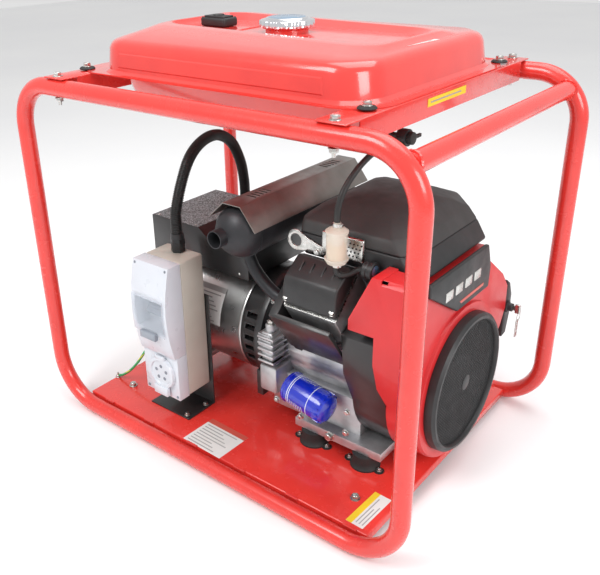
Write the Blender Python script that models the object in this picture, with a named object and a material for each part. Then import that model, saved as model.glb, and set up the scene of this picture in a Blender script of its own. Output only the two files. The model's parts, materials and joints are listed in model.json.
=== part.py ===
"""Open-frame petrol generator set: a tubular cradle with a steel tank, a V-twin engine and an alternator.

Metres, +Z up. +X is the engine's fan end, -Y is the side with the outlet box. The origin is on the floor
under the middle of the cradle. Run with: blender --background --python part.py
"""
import math

import bmesh
import bpy
from mathutils import Matrix, Vector

# ---------------------------------------------------------------- driving dimensions
GAP = 0.0003              # clearance kept between pieces that touch
TUBE_R = 0.0175           # cradle tube, outside radius
TUBE_SIDES = 12
LOOP_LENGTH = 0.880       # between the uprights' centrelines
LOOP_HEIGHT = 0.712       # between the rails' centrelines
LOOP_Y = 0.302            # each loop's distance from the middle
BEND_TOP = 0.087
BEND_BOTTOM = 0.103
SHEET = 0.003             # folded steel sheet

RAIL_Z = TUBE_R * math.cos(math.pi / TUBE_SIDES)   # lower rail's centreline: the tube's flat is on the floor
TOP_Z = RAIL_Z + LOOP_HEIGHT

TRAY_TOP = 0.0325
TRAY_X = 0.370
TANK_RAIL_X = (-0.315, 0.300)
TANK_RAIL_W = 0.054
TANK_RAIL_TOP = TOP_Z + TUBE_R + GAP + SHEET
CRANK_Z = 0.210           # crankshaft and alternator axis, along X at Y = 0
BARREL_R = 0.1225
V_ANGLE = math.radians(45.0)
HEAD_X = 0.190            # middle of the near cylinder along the crankshaft
FAR_SHIFT = -0.024        # the far cylinder stands a crankpin's width towards the alternator
MUFFLER = (0.013, 0.482)  # muffler axis, X and Z
MUFFLER_R = 0.050
EXHAUST_PORT = (-0.152, 0.350)   # where the near exhaust pipe meets the head, Y and Z

KEY = (0.2195, 0.272)     # the key switch's axis, Y and Z

BOX_X = (-0.218, -0.118)
BOX_Z = (0.0855, 0.3935)
BOX_BACK, BOX_SEAM, BOX_FRONT, LOWER_FRONT = -0.1512, -0.2164, -0.2500, -0.2444
LID_SPLIT = 0.1880

# ---------------------------------------------------------------- colours (linear RGB), roughness, metallic
RED = ((0.72, 0.045, 0.032), 0.30, 0.0)
BLACK = ((0.016, 0.016, 0.017), 0.45, 0.0)
DARK = ((0.045, 0.043, 0.041), 0.55, 0.0)
SOOT = ((0.022, 0.022, 0.024), 0.50, 0.4)
ALUMINIUM = ((0.60, 0.61, 0.62), 0.38, 1.0)
STEEL = ((0.55, 0.53, 0.50), 0.30, 1.0)
CHROME = ((0.75, 0.76, 0.78), 0.12, 1.0)
RUBBER = ((0.018, 0.018, 0.018), 0.70, 0.0)
BEIGE = ((0.47, 0.43, 0.36), 0.50, 0.0)
BLUE = ((0.006, 0.02, 0.40), 0.25, 0.0)
CLEAR = ((0.62, 0.66, 0.78), 0.15, 0.0)
FILTER_WHITE = ((0.80, 0.66, 0.52), 0.40, 0.0)
EARTH = ((0.06, 0.30, 0.10), 0.45, 0.0)

for old in list(bpy.data.objects):
    bpy.data.objects.remove(old, do_unlink=True)

PARTS = bpy.data.collections.new("generator_set")
CUTTERS = bpy.data.collections.new("cutters")
for collection in (PARTS, CUTTERS):
    bpy.context.scene.collection.children.link(collection)


# ---------------------------------------------------------------- helpers
def finish_material(finish):
    """One Principled material per colour, shared by the parts that have that finish."""
    colour, roughness, metallic = finish
    label = "finish_%.2f_%.2f_%.2f_%.2f" % (*colour, roughness)
    material = bpy.data.materials.get(label)
    if material is None:
        material = bpy.data.materials.new(label)
        material.use_nodes = True
        shader = material.node_tree.nodes["Principled BSDF"]
        shader.inputs["Base Color"].default_value = (*colour, 1.0)
        shader.inputs["Roughness"].default_value = roughness
        shader.inputs["Metallic"].default_value = metallic
    return material


def add_part(name, bm, finish, smooth=30.0):
    """Turns a bmesh into a named part."""
    bmesh.ops.recalc_face_normals(bm, faces=bm.faces)
    mesh = bpy.data.meshes.new(name)
    bm.to_mesh(mesh)
    bm.free()
    mesh.shade_smooth()
    mesh.set_sharp_from_angle(angle=math.radians(smooth))
    part = bpy.data.objects.new(name, mesh)
    PARTS.objects.link(part)
    mesh.materials.append(finish_material(finish))
    return part


def box_mesh(low, high, bevel=0.0):
    """A box between two corners, with bevelled edges where bevel is given."""
    bm = bmesh.new()
    size = Vector(high) - Vector(low)
    middle = (Vector(high) + Vector(low)) / 2
    bmesh.ops.create_cube(bm, size=1.0, matrix=Matrix.Translation(middle) @ Matrix.Diagonal((*size, 1.0)))
    if bevel:
        bmesh.ops.bevel(bm, geom=bm.edges[:], offset=bevel, segments=2, affect="EDGES", profile=0.5, material=-1)
    return bm


def turn_to(axis):
    """The rotation that takes +Z to an axis."""
    return Vector((0, 0, 1)).rotation_difference(Vector(axis).normalized()).to_matrix().to_4x4()


def cone_mesh(base, axis, length, radius, radius_top=None, sides=32):
    """A cylinder or cone that starts at base and runs along axis."""
    bm = bmesh.new()
    place = Matrix.Translation(base) @ turn_to(axis) @ Matrix.Translation((0, 0, length / 2))
    top = radius if radius_top is None else radius_top
    bmesh.ops.create_cone(bm, cap_ends=True, segments=sides, radius1=radius, radius2=top, depth=length,
                          matrix=place)
    return bm


def turned_mesh(profile, base, axis, sides=32):
    """A closed ring or solid turned from (radius, height) points, its height along axis from base."""
    bm = bmesh.new()
    points = [bm.verts.new((radius, 0.0, height)) for radius, height in profile]
    edges = [bm.edges.new((points[i], points[(i + 1) % len(points)])) for i in range(len(points))]
    bmesh.ops.spin(bm, geom=points + edges, cent=(0, 0, 0), axis=(0, 0, 1), angle=math.tau, steps=sides,
                   use_merge=True)
    bmesh.ops.remove_doubles(bm, verts=bm.verts, dist=1e-6)
    flat = [face for face in bm.faces if face.calc_area() < 1e-12]
    bmesh.ops.delete(bm, geom=flat, context="FACES")
    bmesh.ops.dissolve_degenerate(bm, dist=1e-7, edges=bm.edges)
    loose = [edge for edge in bm.edges if not edge.link_faces]
    bmesh.ops.delete(bm, geom=loose, context="EDGES")
    bmesh.ops.transform(bm, matrix=Matrix.Translation(base) @ turn_to(axis), verts=bm.verts)
    return bm


def plate_mesh(outline, axis, low, high):
    """A flat outline of (u, v) points, extruded from low to high along 'X', 'Y' or 'Z'.

    u and v are Y, Z for an X plate, X, Z for a Y plate and X, Y for a Z plate.
    """
    order = {"X": lambda u, v, w: (w, u, v), "Y": lambda u, v, w: (u, w, v), "Z": lambda u, v, w: (u, v, w)}
    place = order[axis]
    bm = bmesh.new()
    bottom = bm.faces.new([bm.verts.new(place(u, v, low)) for u, v in outline])
    raised = bmesh.ops.extrude_face_region(bm, geom=[bottom])
    top = [item for item in raised["geom"] if isinstance(item, bmesh.types.BMVert)]
    shift = Vector(place(0, 0, high)) - Vector(place(0, 0, low))
    bmesh.ops.translate(bm, vec=shift, verts=top)
    return bm


def arc(centre, radius, start, end, steps):
    """Points along an arc, angles in degrees."""
    turns = [math.radians(start + (end - start) * i / steps) for i in range(steps + 1)]
    return [(centre[0] + radius * math.cos(a), centre[1] + radius * math.sin(a)) for a in turns]


def loft_mesh(rings):
    """A closed solid through rings of equally many points, capped at both ends."""
    bm = bmesh.new()
    loops = [[bm.verts.new(point) for point in ring] for ring in rings]
    count = len(loops[0])
    for lower, upper in zip(loops, loops[1:]):
        for i in range(count):
            bm.faces.new((lower[i], lower[(i + 1) % count], upper[(i + 1) % count], upper[i]))
    bm.faces.new(loops[0][::-1])
    bm.faces.new(loops[-1])
    return bm


def rounded_ring(x, y, z, corner, steps=3):
    """A rounded rectangle at height z between x = (low, high) and y = (low, high)."""
    ring = []
    for (cx, cy), start in (((x[1] - corner, y[1] - corner), 0), ((x[0] + corner, y[1] - corner), 90),
                            ((x[0] + corner, y[0] + corner), 180), ((x[1] - corner, y[0] + corner), 270)):
        ring += [(u, v, z) for u, v in arc((cx, cy), corner, start, start + 90, steps)]
    return ring


def boolean(part, bm, operation):
    """Cuts or joins a mesh to a part with an exact Boolean, and applies it."""
    bmesh.ops.recalc_face_normals(bm, faces=bm.faces)
    mesh = bpy.data.meshes.new("tool")
    bm.to_mesh(mesh)
    bm.free()
    tool = bpy.data.objects.new("tool", mesh)
    CUTTERS.objects.link(tool)
    tool.hide_render = True
    tool.display_type = "WIRE"
    modifier = part.modifiers.new("boolean", "BOOLEAN")
    modifier.operation = operation
    modifier.solver = "EXACT"
    modifier.object = tool
    evaluated = part.evaluated_get(bpy.context.evaluated_depsgraph_get())
    made = bpy.data.meshes.new_from_object(evaluated)
    part.modifiers.clear()
    part.data = made
    bpy.data.objects.remove(tool, do_unlink=True)
    return part


def cut(part, bm):
    """Takes a mesh away from a part."""
    return boolean(part, bm, "DIFFERENCE")


def join(part, bm):
    """Adds a mesh to a part, as one body."""
    return boolean(part, bm, "UNION")


def smooth_route(points, spacing):
    """Points about a spacing apart on one smooth curve through the route's own points."""
    knots = [Vector(p) for p in points]
    ends = [2 * knots[0] - knots[1], *knots, 2 * knots[-1] - knots[-2]]
    dense = []
    for i in range(1, len(ends) - 2):
        a, b, c, d = ends[i - 1:i + 3]
        for step in range(16):
            t = step / 16
            dense.append(0.5 * (2 * b + (c - a) * t + (2 * a - 5 * b + 4 * c - d) * t ** 2
                                + (3 * b - a - 3 * c + d) * t ** 3))
    dense.append(knots[-1])
    picked = [dense[0]]
    for point in dense[1:-1]:
        if (point - picked[-1]).length >= spacing:
            picked.append(point)
    if (picked[-1] - dense[-1]).length < spacing / 2:
        picked.pop()
    return picked + [dense[-1]]


def add_tube(name, points, radius, finish, cyclic=False, resolution=2, tilt=0.0):
    """A tube along points, as a bevelled curve with filled caps."""
    curve = bpy.data.curves.new(name, "CURVE")
    curve.dimensions = "3D"
    curve.bevel_depth = radius
    curve.bevel_resolution = resolution
    curve.use_fill_caps = True
    curve.twist_mode = "MINIMUM"
    spline = curve.splines.new("POLY")
    spline.points.add(len(points) - 1)
    for knot, point in zip(spline.points, points):
        knot.co = (*point, 1.0)
        knot.tilt = tilt
    spline.use_cyclic_u = cyclic
    part = bpy.data.objects.new(name, curve)
    PARTS.objects.link(part)
    curve.materials.append(finish_material(finish))
    return part


def tube_mesh(points, radius, sides=TUBE_SIDES):
    """A tube's mesh for Boolean work: rings square to the path, capped."""
    path = [Vector(p) for p in points]
    rings = []
    for i, point in enumerate(path):
        along = (path[min(i + 1, len(path) - 1)] - path[max(i - 1, 0)]).normalized()
        side = along.cross(Vector((0, 0, 1)))
        side = side.normalized() if side.length > 1e-4 else Vector((1, 0, 0))
        up = side.cross(along)
        rings.append([point + radius * (math.cos(a) * side + math.sin(a) * up)
                      for a in (math.tau * k / sides for k in range(sides))])
    return loft_mesh(rings)


def set_origin(part, point):
    """Moves a part's origin to a point and leaves its shape where it is."""
    part.data.transform(Matrix.Translation(-Vector(point)))
    part.location = point
    return part


# ---------------------------------------------------------------- cradle
def loop_points(steps=6):
    """The centreline of one side loop, in X and Z, with tighter bends at the top."""
    half, low, high = LOOP_LENGTH / 2, RAIL_Z, TOP_Z
    return (arc((half - BEND_BOTTOM, low + BEND_BOTTOM), BEND_BOTTOM, -90, 0, steps)
            + arc((half - BEND_TOP, high - BEND_TOP), BEND_TOP, 0, 90, steps)
            + arc((-half + BEND_TOP, high - BEND_TOP), BEND_TOP, 90, 180, steps)
            + arc((-half + BEND_BOTTOM, low + BEND_BOTTOM), BEND_BOTTOM, 180, 270, steps))


def build_cradle():
    """Two bent loops, one cross tube, the base tray and the two tank rails."""
    for side, name in ((-1, "frame_loop_near"), (1, "frame_loop_far")):
        path = [(x, side * LOOP_Y, z) for x, z in loop_points()]
        add_tube(name, path, TUBE_R, RED, cyclic=True, resolution=4, tilt=math.pi / TUBE_SIDES)

    bend = (LOOP_LENGTH / 2 - BEND_TOP, TOP_Z - BEND_TOP)
    corner = (bend[0] + BEND_TOP * math.sqrt(0.5), bend[1] + BEND_TOP * math.sqrt(0.5))
    reach = LOOP_Y - 0.002
    cross = add_part("cross_tube", cone_mesh((corner[0], -reach, corner[1]), (0, 1, 0), 2 * reach, TUBE_R - 0.0004,
                                             sides=24), RED)
    for side in (-1, 1):
        saddle = [(x, side * LOOP_Y, z) for x, z in arc(bend, BEND_TOP, 0, 90, 6)]
        cut(cross, tube_mesh(saddle, TUBE_R + 0.0008, sides=24))

    side_y = LOOP_Y - TUBE_R - GAP
    tray = add_part("base_tray", box_mesh((-TRAY_X, -side_y, 0.0150), (TRAY_X, side_y, TRAY_TOP), bevel=0.002), RED)
    cut(tray, box_mesh((-TRAY_X + SHEET, -side_y + SHEET, 0.0), (TRAY_X - SHEET, side_y - SHEET, TRAY_TOP - SHEET)))

    for x, name in zip(TANK_RAIL_X, ("tank_rail_left", "tank_rail_right")):
        low, high = x - TANK_RAIL_W / 2, x + TANK_RAIL_W / 2
        top, under = TANK_RAIL_TOP, TANK_RAIL_TOP - SHEET
        rail = add_part(name, box_mesh((low, -0.313, under), (high, 0.313, top)), RED)
        for wall in (low, high - SHEET):
            join(rail, box_mesh((wall, -0.278, under - 0.034), (wall + SHEET, 0.278, under + 0.001)))


# ---------------------------------------------------------------- tank and fuel line
def tank_rings(inset):
    """The tank's skin from its pan up to its crown; inset gives the inside of the sheet."""
    seam = TANK_RAIL_TOP + GAP
    pan = [((-0.235, 0.235), 0.160, seam - 0.066 + inset, 0.030), ((-0.262, 0.262), 0.195, seam - 0.044, 0.040),
           ((-0.270, 0.270), 0.208, seam, 0.045)]
    hood = [((-0.292, 0.300), 0.232, seam + 0.0022, 0.045), ((-0.288, 0.294), 0.228, 0.7990, 0.045),
            ((-0.272, 0.280), 0.214, 0.8110 - inset, 0.040), ((-0.248, 0.262), 0.155, 0.8250 - inset, 0.040),
            ((-0.238, 0.245), 0.105, 0.8295 - inset, 0.040), ((-0.222, 0.230), 0.080, 0.8140 - inset, 0.030)]
    rings = []
    for (low, high), half, z, corner in pan + hood:
        ring = rounded_ring((low + inset, high - inset), (-half + inset, half - inset), z, corner)
        if z > 0.8160:
            ring = [(x, y, height - TANK_FALL * (x + 0.238)) for x, y, height in ring]
        rings.append(ring)
    return rings[:3], rings[3:]


TANK_FALL = 0.018         # how much the tank's ridges drop per metre towards the fan end
CAP = (-0.013, 0.0)       # the filler's axis, X and Y
CAP_SEAT = 0.8225


def build_tank():
    """The tank, its filler cap and gauge, and the tap, hoses, filter and pump of the fuel line."""
    seam = TANK_RAIL_TOP + GAP
    pan, hood = tank_rings(0.0)
    flange = [rounded_ring((-0.345, 0.325), (-0.247, 0.247), seam, 0.030),
              rounded_ring((-0.345, 0.325), (-0.247, 0.247), seam + 0.0022, 0.030)]
    tank = add_part("fuel_tank", loft_mesh(pan + flange + hood), RED)
    inner_pan, inner_hood = tank_rings(0.0015)
    cut(tank, loft_mesh(inner_pan + inner_hood))
    join(tank, turned_mesh([(0.040, 0.0), (0.040, 0.022), (0.034, 0.022), (0.034, 0.0)],
                           (*CAP, CAP_SEAT - 0.0220), (0, 0, 1)))
    cut(tank, cone_mesh((*CAP, CAP_SEAT - 0.030), (0, 0, 1), 0.050, 0.0342))
    tap = (0.262, -0.020)
    cut(tank, cone_mesh((0.200, -0.020, seam - 0.080), (0, 0, 1), 0.030, 0.004, sides=12))

    knurl = [(0.0515 + (0.0015 if i % 2 else 0.0), math.tau * i / 48) for i in range(48)]
    cap = add_part("fuel_cap", plate_mesh([(CAP[0] + r * math.cos(a), CAP[1] + r * math.sin(a)) for r, a in knurl],
                                          "Z", CAP_SEAT + 0.0010, CAP_SEAT + 0.0140), CHROME)
    join(cap, cone_mesh((*CAP, CAP_SEAT + 0.0135), (0, 0, 1), 0.0045, 0.046, 0.030))
    set_origin(cap, (*CAP, CAP_SEAT + 0.0010))
    add_part("fuel_gauge", box_mesh((-0.214, -0.020, 0.8143), (-0.150, 0.020, 0.8370), bevel=0.004),
             BLACK)

    body_low = seam - 0.102
    tap_body = add_part("fuel_tap_body", cone_mesh((0.200, -0.020, body_low), (0, 0, 1), 0.035, 0.0075, sides=16), BLACK)
    join(tap_body, cone_mesh((0.202, -0.020, body_low + 0.010), (1, 0, 0), 0.046, 0.0062, sides=14))
    join(tap_body, cone_mesh((tap[0] - 0.018, tap[1], body_low + 0.010), (1, 0, 0), 0.018, 0.0150, sides=20))
    join(tap_body, cone_mesh((tap[0] - 0.012, tap[1], body_low + 0.010), (0, -1, 0), 0.030, 0.0050, sides=16))
    lever = add_part("fuel_tap_lever", cone_mesh((tap[0] + GAP, tap[1], body_low + 0.010), (1, 0, 0), 0.009, 0.0110,
                                                 sides=20), BLACK)
    join(lever, box_mesh((tap[0] + 0.003, tap[1], body_low + 0.007), (tap[0] + 0.008, tap[1] + 0.030,
                                                                       body_low + 0.013)))
    set_origin(lever, (tap[0], tap[1], body_low + 0.010))

    hose_start = (tap[0] - 0.012, tap[1] - 0.030 - GAP, body_low + 0.010)
    hose = [hose_start, (0.250, -0.080, 0.657), (0.248, -0.115, 0.650), (0.243, -0.150, 0.632), (0.237, -0.178, 0.604),
            (0.234, -0.190, 0.575), (0.234, -0.192, 0.5523)]
    add_tube("fuel_hose", smooth_route(hose, 0.012), 0.0055, RUBBER)
    add_part("fuel_filter", turned_mesh(
        [(0.0, 0.0), (0.006, 0.0), (0.006, 0.006), (0.022, 0.006), (0.022, 0.015), (0.019, 0.016), (0.0185, 0.066),
         (0.015, 0.071), (0.006, 0.072), (0.006, 0.080), (0.0, 0.080)], (0.234, -0.192, 0.472), (0, 0, 1), sides=24),
        FILTER_WHITE)
    pump_hose = [(0.234, -0.192, 0.4700), (0.234, -0.192, 0.4660), (0.2360, -0.1910, 0.4600), (0.242, -0.187, 0.4570),
                 (0.252, -0.178, 0.4590), (0.2620, -0.1690, 0.4650), (0.2690, -0.1670, 0.4680), (0.2740, -0.1670, 0.4680)]
    add_tube("pump_hose", smooth_route(pump_hose, 0.004), 0.0050, RUBBER)
    add_part("fuel_pump", cone_mesh((0.2745, -0.1670, 0.4700), (1, 0, 0), 0.020, 0.0155, sides=24), BLACK)


# ---------------------------------------------------------------- engine
def swing(side, r, t, x):
    """A point r out along a cylinder's axis from the crankshaft and t up across it."""
    out = Vector((0, side * math.sin(V_ANGLE), math.cos(V_ANGLE)))
    up = Vector((0, -side * math.cos(V_ANGLE), math.sin(V_ANGLE)))
    return Vector((x, 0, CRANK_Z)) + r * out + t * up


def v_plate(side, outline, low, high):
    """An outline of (r, t) points square to the crankshaft, extruded along X."""
    points = [swing(side, r, t, 0.0) for r, t in outline]
    return plate_mesh([(p.y, p.z) for p in points], "X", low, high)


def build_isolators():
    """Four cone mounts under the engine and two under the alternator."""
    seat = TRAY_TOP + GAP
    spots = {"engine_isolator_near_fan": (0.263, -0.122, 1), "engine_isolator_near_drive": (0.141, -0.122, 1),
             "engine_isolator_far_fan": (0.263, 0.122, 1), "engine_isolator_far_drive": (0.141, 0.122, 1),
             "alternator_isolator_near": (-0.238, -0.070, 0.8), "alternator_isolator_far": (-0.238, 0.070, 0.8)}
    for name, (x, y, scale) in spots.items():
        outline = (arc((x, y - 0.037 * scale), 0.010 * scale, 200, 340, 5)
                   + arc((x, y), 0.030 * scale, -25, 25, 3)
                   + arc((x, y + 0.037 * scale), 0.010 * scale, 20, 160, 5)
                   + arc((x, y), 0.030 * scale, 155, 205, 3))
        mount = add_part(name, plate_mesh(outline, "Z", seat, seat + 0.004), RUBBER)
        join(mount, cone_mesh((x, y, seat + 0.002), (0, 0, 1), 0.0300, 0.0285 * scale, 0.0240 * scale, sides=24))


ENGINE_FOOT = TRAY_TOP + GAP + 0.0320 + GAP


def build_crankcase():
    """The alloy crankcase, hollow for the crankshaft, with its foot flange and filter housing."""
    case = add_part("crankcase", box_mesh((0.105, -0.138, ENGINE_FOOT), (0.305, 0.138, ENGINE_FOOT + 0.018)), ALUMINIUM)
    join(case, box_mesh((0.030, -0.112, ENGINE_FOOT + 0.010), (0.243, 0.112, 0.160)))
    join(case, cone_mesh((0.0130, 0, CRANK_Z), (1, 0, 0), 0.230, 0.1040, sides=40))
    for side in (-1, 1):
        x = HEAD_X if side < 0 else HEAD_X + FAR_SHIFT
        join(case, v_plate(side, [(0.070, -0.052), (0.118, -0.052), (0.118, 0.052), (0.070, 0.052)], x - 0.052,
                           min(x + 0.052, 0.242)))
    cut(case, cone_mesh((0.0300, 0, CRANK_Z), (1, 0, 0), 0.198, 0.0860, sides=32))
    cut(case, cone_mesh((0.0, 0, CRANK_Z), (1, 0, 0), 0.300, 0.0182, sides=24))
    join(case, box_mesh((0.022, -0.150, 0.125), (0.066, -0.085, 0.185), bevel=0.006))
    for fin in range(6):
        z = 0.196 + 0.0115 * fin
        join(case, box_mesh((0.024, -0.152, z), (0.064 - 0.002 * fin, -0.060, z + 0.0045)))
    join(case, cone_mesh((0.044, -0.128, 0.180), (0, 0, 1), 0.096, 0.0120, 0.0090, sides=16))
    return case


def build_crankshaft():
    """The crankshaft with its webs and pin, the alternator's rotor and the flywheel fan: they turn together."""
    shaft = add_part("crankshaft", cone_mesh((-0.0500, 0, CRANK_Z), (1, 0, 0), 0.170, 0.0180, sides=24), STEEL)
    join(shaft, cone_mesh((0.118, 0, CRANK_Z), (1, 0, 0), 0.020, 0.062, sides=32))
    join(shaft, cone_mesh((0.136, 0, CRANK_Z + 0.036), (1, 0, 0), 0.048, 0.0200, sides=20))
    join(shaft, cone_mesh((0.182, 0, CRANK_Z), (1, 0, 0), 0.020, 0.062, sides=32))
    join(shaft, cone_mesh((0.200, 0, CRANK_Z), (1, 0, 0), 0.126, 0.0180, sides=24))
    set_origin(shaft, (0, 0, CRANK_Z))

    rotor = add_part("alternator_rotor", turned_mesh(
        [(0.0, 0.0), (0.018, 0.0), (0.018, 0.055), (0.074, 0.055), (0.074, 0.190), (0.022, 0.190), (0.022, 0.2277),
         (0.0, 0.2277)], (-0.278, 0, CRANK_Z), (1, 0, 0)), STEEL)
    set_origin(rotor, (0, 0, CRANK_Z))

    hub = 0.3263
    fan = add_part("flywheel_fan", turned_mesh([(0.0, 0.0), (0.112, 0.0), (0.112, 0.008), (0.060, 0.012), (0.0, 0.012)],
                                               (hub, 0, CRANK_Z), (1, 0, 0), sides=36), ALUMINIUM)
    blades = 14
    for k in range(blades):
        blade = box_mesh((hub + 0.004, -0.0015, 0.064), (hub + 0.036, 0.0015, 0.108))
        lean = Matrix.Translation((0, 0, CRANK_Z)) @ Matrix.Rotation(math.tau * k / blades, 4, "X")
        bmesh.ops.transform(blade, matrix=lean, verts=blade.verts)
        join(fan, blade)
    set_origin(fan, (0, 0, CRANK_Z))


def build_top_end():
    """Both finned cylinders with their heads, and the valve covers."""
    for side, word in ((-1, "near"), (1, "far")):
        x = HEAD_X if side < 0 else HEAD_X + FAR_SHIFT
        start = swing(side, 0.1185, 0.0, x)
        axis = swing(side, 1.0, 0.0, 0.0) - swing(side, 0.0, 0.0, 0.0)
        fins = [(0.0, 0.0)]
        for k in range(5):
            low = 0.006 + 0.0145 * k
            fins += [(0.040, low), (0.055, low), (0.055, low + 0.006), (0.040, low + 0.006)]
        fins += [(0.040, 0.080), (0.0, 0.080)]
        barrel = add_part("cylinder_" + word, turned_mesh(fins, start, axis, sides=20), ALUMINIUM)
        join(barrel, v_plate(side, [(0.196, -0.045), (0.266, -0.030), (0.266, 0.068), (0.196, 0.060)], x - 0.055,
                             x + 0.055))
        cover = [(0.2663, -0.026), (0.277, -0.026), (0.2985, 0.000), (0.3050, 0.0135), (0.2960, 0.062),
                 (0.2800, 0.070), (0.2663, 0.070)]
        lid = add_part("valve_cover_" + word, v_plate(side, cover, x - 0.056, x + 0.056), BLACK)


def build_shrouds():
    """Black air ducts round the cylinders, the housing behind the fan, the red fan cover and its grille."""
    for side, word in ((-1, "near"), (1, "far")):
        x = HEAD_X if side < 0 else HEAD_X + FAR_SHIFT
        outer = [(0.150, -0.0750), (0.262, -0.0560), (0.262, -0.0470), (0.1905, -0.0620), (0.150, -0.0660)]
        shroud = add_part("cylinder_shroud_" + word, v_plate(side, outer, x - 0.0790, x + 0.0520), BLACK)
        wrap = [(0.130, -0.0750), (0.262, -0.0560), (0.262, 0.050), (0.130, 0.050)]
        join(shroud, v_plate(side, wrap, x - 0.0790, x - 0.0620))
        if side < 0:
            cut(shroud, cone_mesh((0.090, EXHAUST_PORT[0], EXHAUST_PORT[1]), (1, 0, 0), 0.045, 0.0150, sides=16))

    ring = arc((0, CRANK_Z), 0.150, -90, -8, 10) + [(0.182, 0.262), (0.192, 0.345), (0.150, 0.370), (0.085, 0.436)]
    outline = ring + [(-y, z) for y, z in reversed(ring[1:])]
    housing = add_part("fan_housing", plate_mesh(outline, "X", 0.2463, 0.3200), BLACK)
    cut(housing, cone_mesh((0.2300, 0, CRANK_Z), (1, 0, 0), 0.120, 0.1160, sides=36))
    cut(housing, box_mesh((0.2400, -0.100, 0.280), (0.3300, 0.100, 0.400)))
    cut(housing, box_mesh((0.2300, -0.300, 0.0), (0.3060, 0.300, ENGINE_FOOT + 0.0185)))

    near = [(-0.190, 0.262), (-0.208, 0.320), (-0.208, 0.470), (-0.200, 0.478), (-0.157, 0.478), (-0.152, 0.4525)]
    far = [(0.190, 0.240), (0.208, 0.275), (0.206, 0.325), (0.175, 0.362), (0.100, 0.418), (0.085, 0.4525)]
    bowl = arc((0, CRANK_Z), 0.155, -180, 0, 20)
    cover = add_part("fan_cover", plate_mesh(bowl + far + near[::-1], "X", 0.3203, 0.3790), RED)
    ear = [(0.2700, 0.372), (0.2700, 0.392), (0.3130, 0.480), (0.3300, 0.480), (0.3300, 0.372)]
    join(cover, plate_mesh(ear, "Y", -0.208, -0.154))
    inner_near = [(-0.186, 0.264), (-0.205, 0.322), (-0.205, 0.468), (-0.199, 0.475), (-0.160, 0.475), (-0.155, 0.4495)]
    inner_far = [(0.187, 0.243), (0.205, 0.276), (0.203, 0.323), (0.173, 0.360), (0.098, 0.415), (0.083, 0.4495)]
    inner_bowl = arc((0, CRANK_Z), 0.151, -180, 0, 20)
    cut(cover, plate_mesh(inner_bowl + inner_far + inner_near[::-1], "X", 0.3100, 0.3760))
    ear_inside = [(0.2600, 0.365), (0.2726, 0.3905), (0.3147, 0.477), (0.3400, 0.477), (0.3400, 0.365)]
    cut(cover, plate_mesh(ear_inside, "Y", -0.205, -0.150))
    join(cover, turned_mesh([(0.1285, 0.0), (0.1550, 0.0), (0.1530, 0.009), (0.1285, 0.009)],
                            (0.3760, 0, CRANK_Z), (1, 0, 0), sides=40))
    cut(cover, cone_mesh((0.3700, 0, CRANK_Z), (1, 0, 0), 0.050, 0.1285, sides=40))

    grille = turned_mesh([(0.0, 0.014), (0.0, 0.011), (0.1240, 0.011), (0.1240, 0.0), (0.1370, 0.0), (0.1370, 0.014),
                          (0.1310, 0.0205), (0.1250, 0.0205), (0.1220, 0.014)], (0.3853, 0, CRANK_Z), (1, 0, 0),
                         sides=48)
    add_part("fan_grille", grille, BLACK)
    badge = [(-0.150, 0.4620), (-0.148, 0.440), (-0.041, 0.3720), (0.086, 0.3720), (0.088, 0.415), (0.070, 0.4620)]
    add_part("badge_panel", plate_mesh(badge, "X", 0.3793, 0.3880), BLACK)


def build_air_cleaner():
    """The air cleaner's base and domed cover over the carburettor, in the V."""
    def outline(front, side, rear, z):
        """The cleaner's plan at height z, with cut corners, drawn in at the front, the sides and the rear."""
        x_high, x_low, y = 0.372 - front, 0.115 + rear, 0.148 - side
        half = [(x_low + 0.014, y), (x_low, y - 0.018)]
        near = [(x_high, -0.118 + side), (x_high - 0.026, -y)] + [(x, -v) for x, v in half]
        far = [(x, v) for x, v in reversed(half)] + [(x_high - 0.050, y), (x_high, 0.090 - side * 0.7)]
        return [(x, v, z) for x, v in near + far]
    base = [outline(0.012, 0.006, 0.006, 0.4540), outline(0.0, 0.0, 0.002, 0.4640), outline(0.020, 0.0, 0.0, 0.4960)]
    add_part("air_cleaner_base", loft_mesh(base), BLACK)
    dome = ((0.020, 0.0, 0.0, 0.4963), (0.038, 0.005, 0.003, 0.5200), (0.064, 0.045, 0.020, 0.5370),
            (0.095, 0.085, 0.050, 0.5480), (0.120, 0.110, 0.080, 0.5530))
    add_part("air_cleaner_cover", loft_mesh([outline(*ring) for ring in dome]), DARK)
    carb = add_part("carburettor", box_mesh((0.150, -0.040, 0.352), (0.222, 0.040, 0.4200), bevel=0.004), ALUMINIUM)
    join(carb, cone_mesh((0.186, 0, 0.415), (0, 0, 1), 0.0387, 0.026, sides=24))


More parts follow.
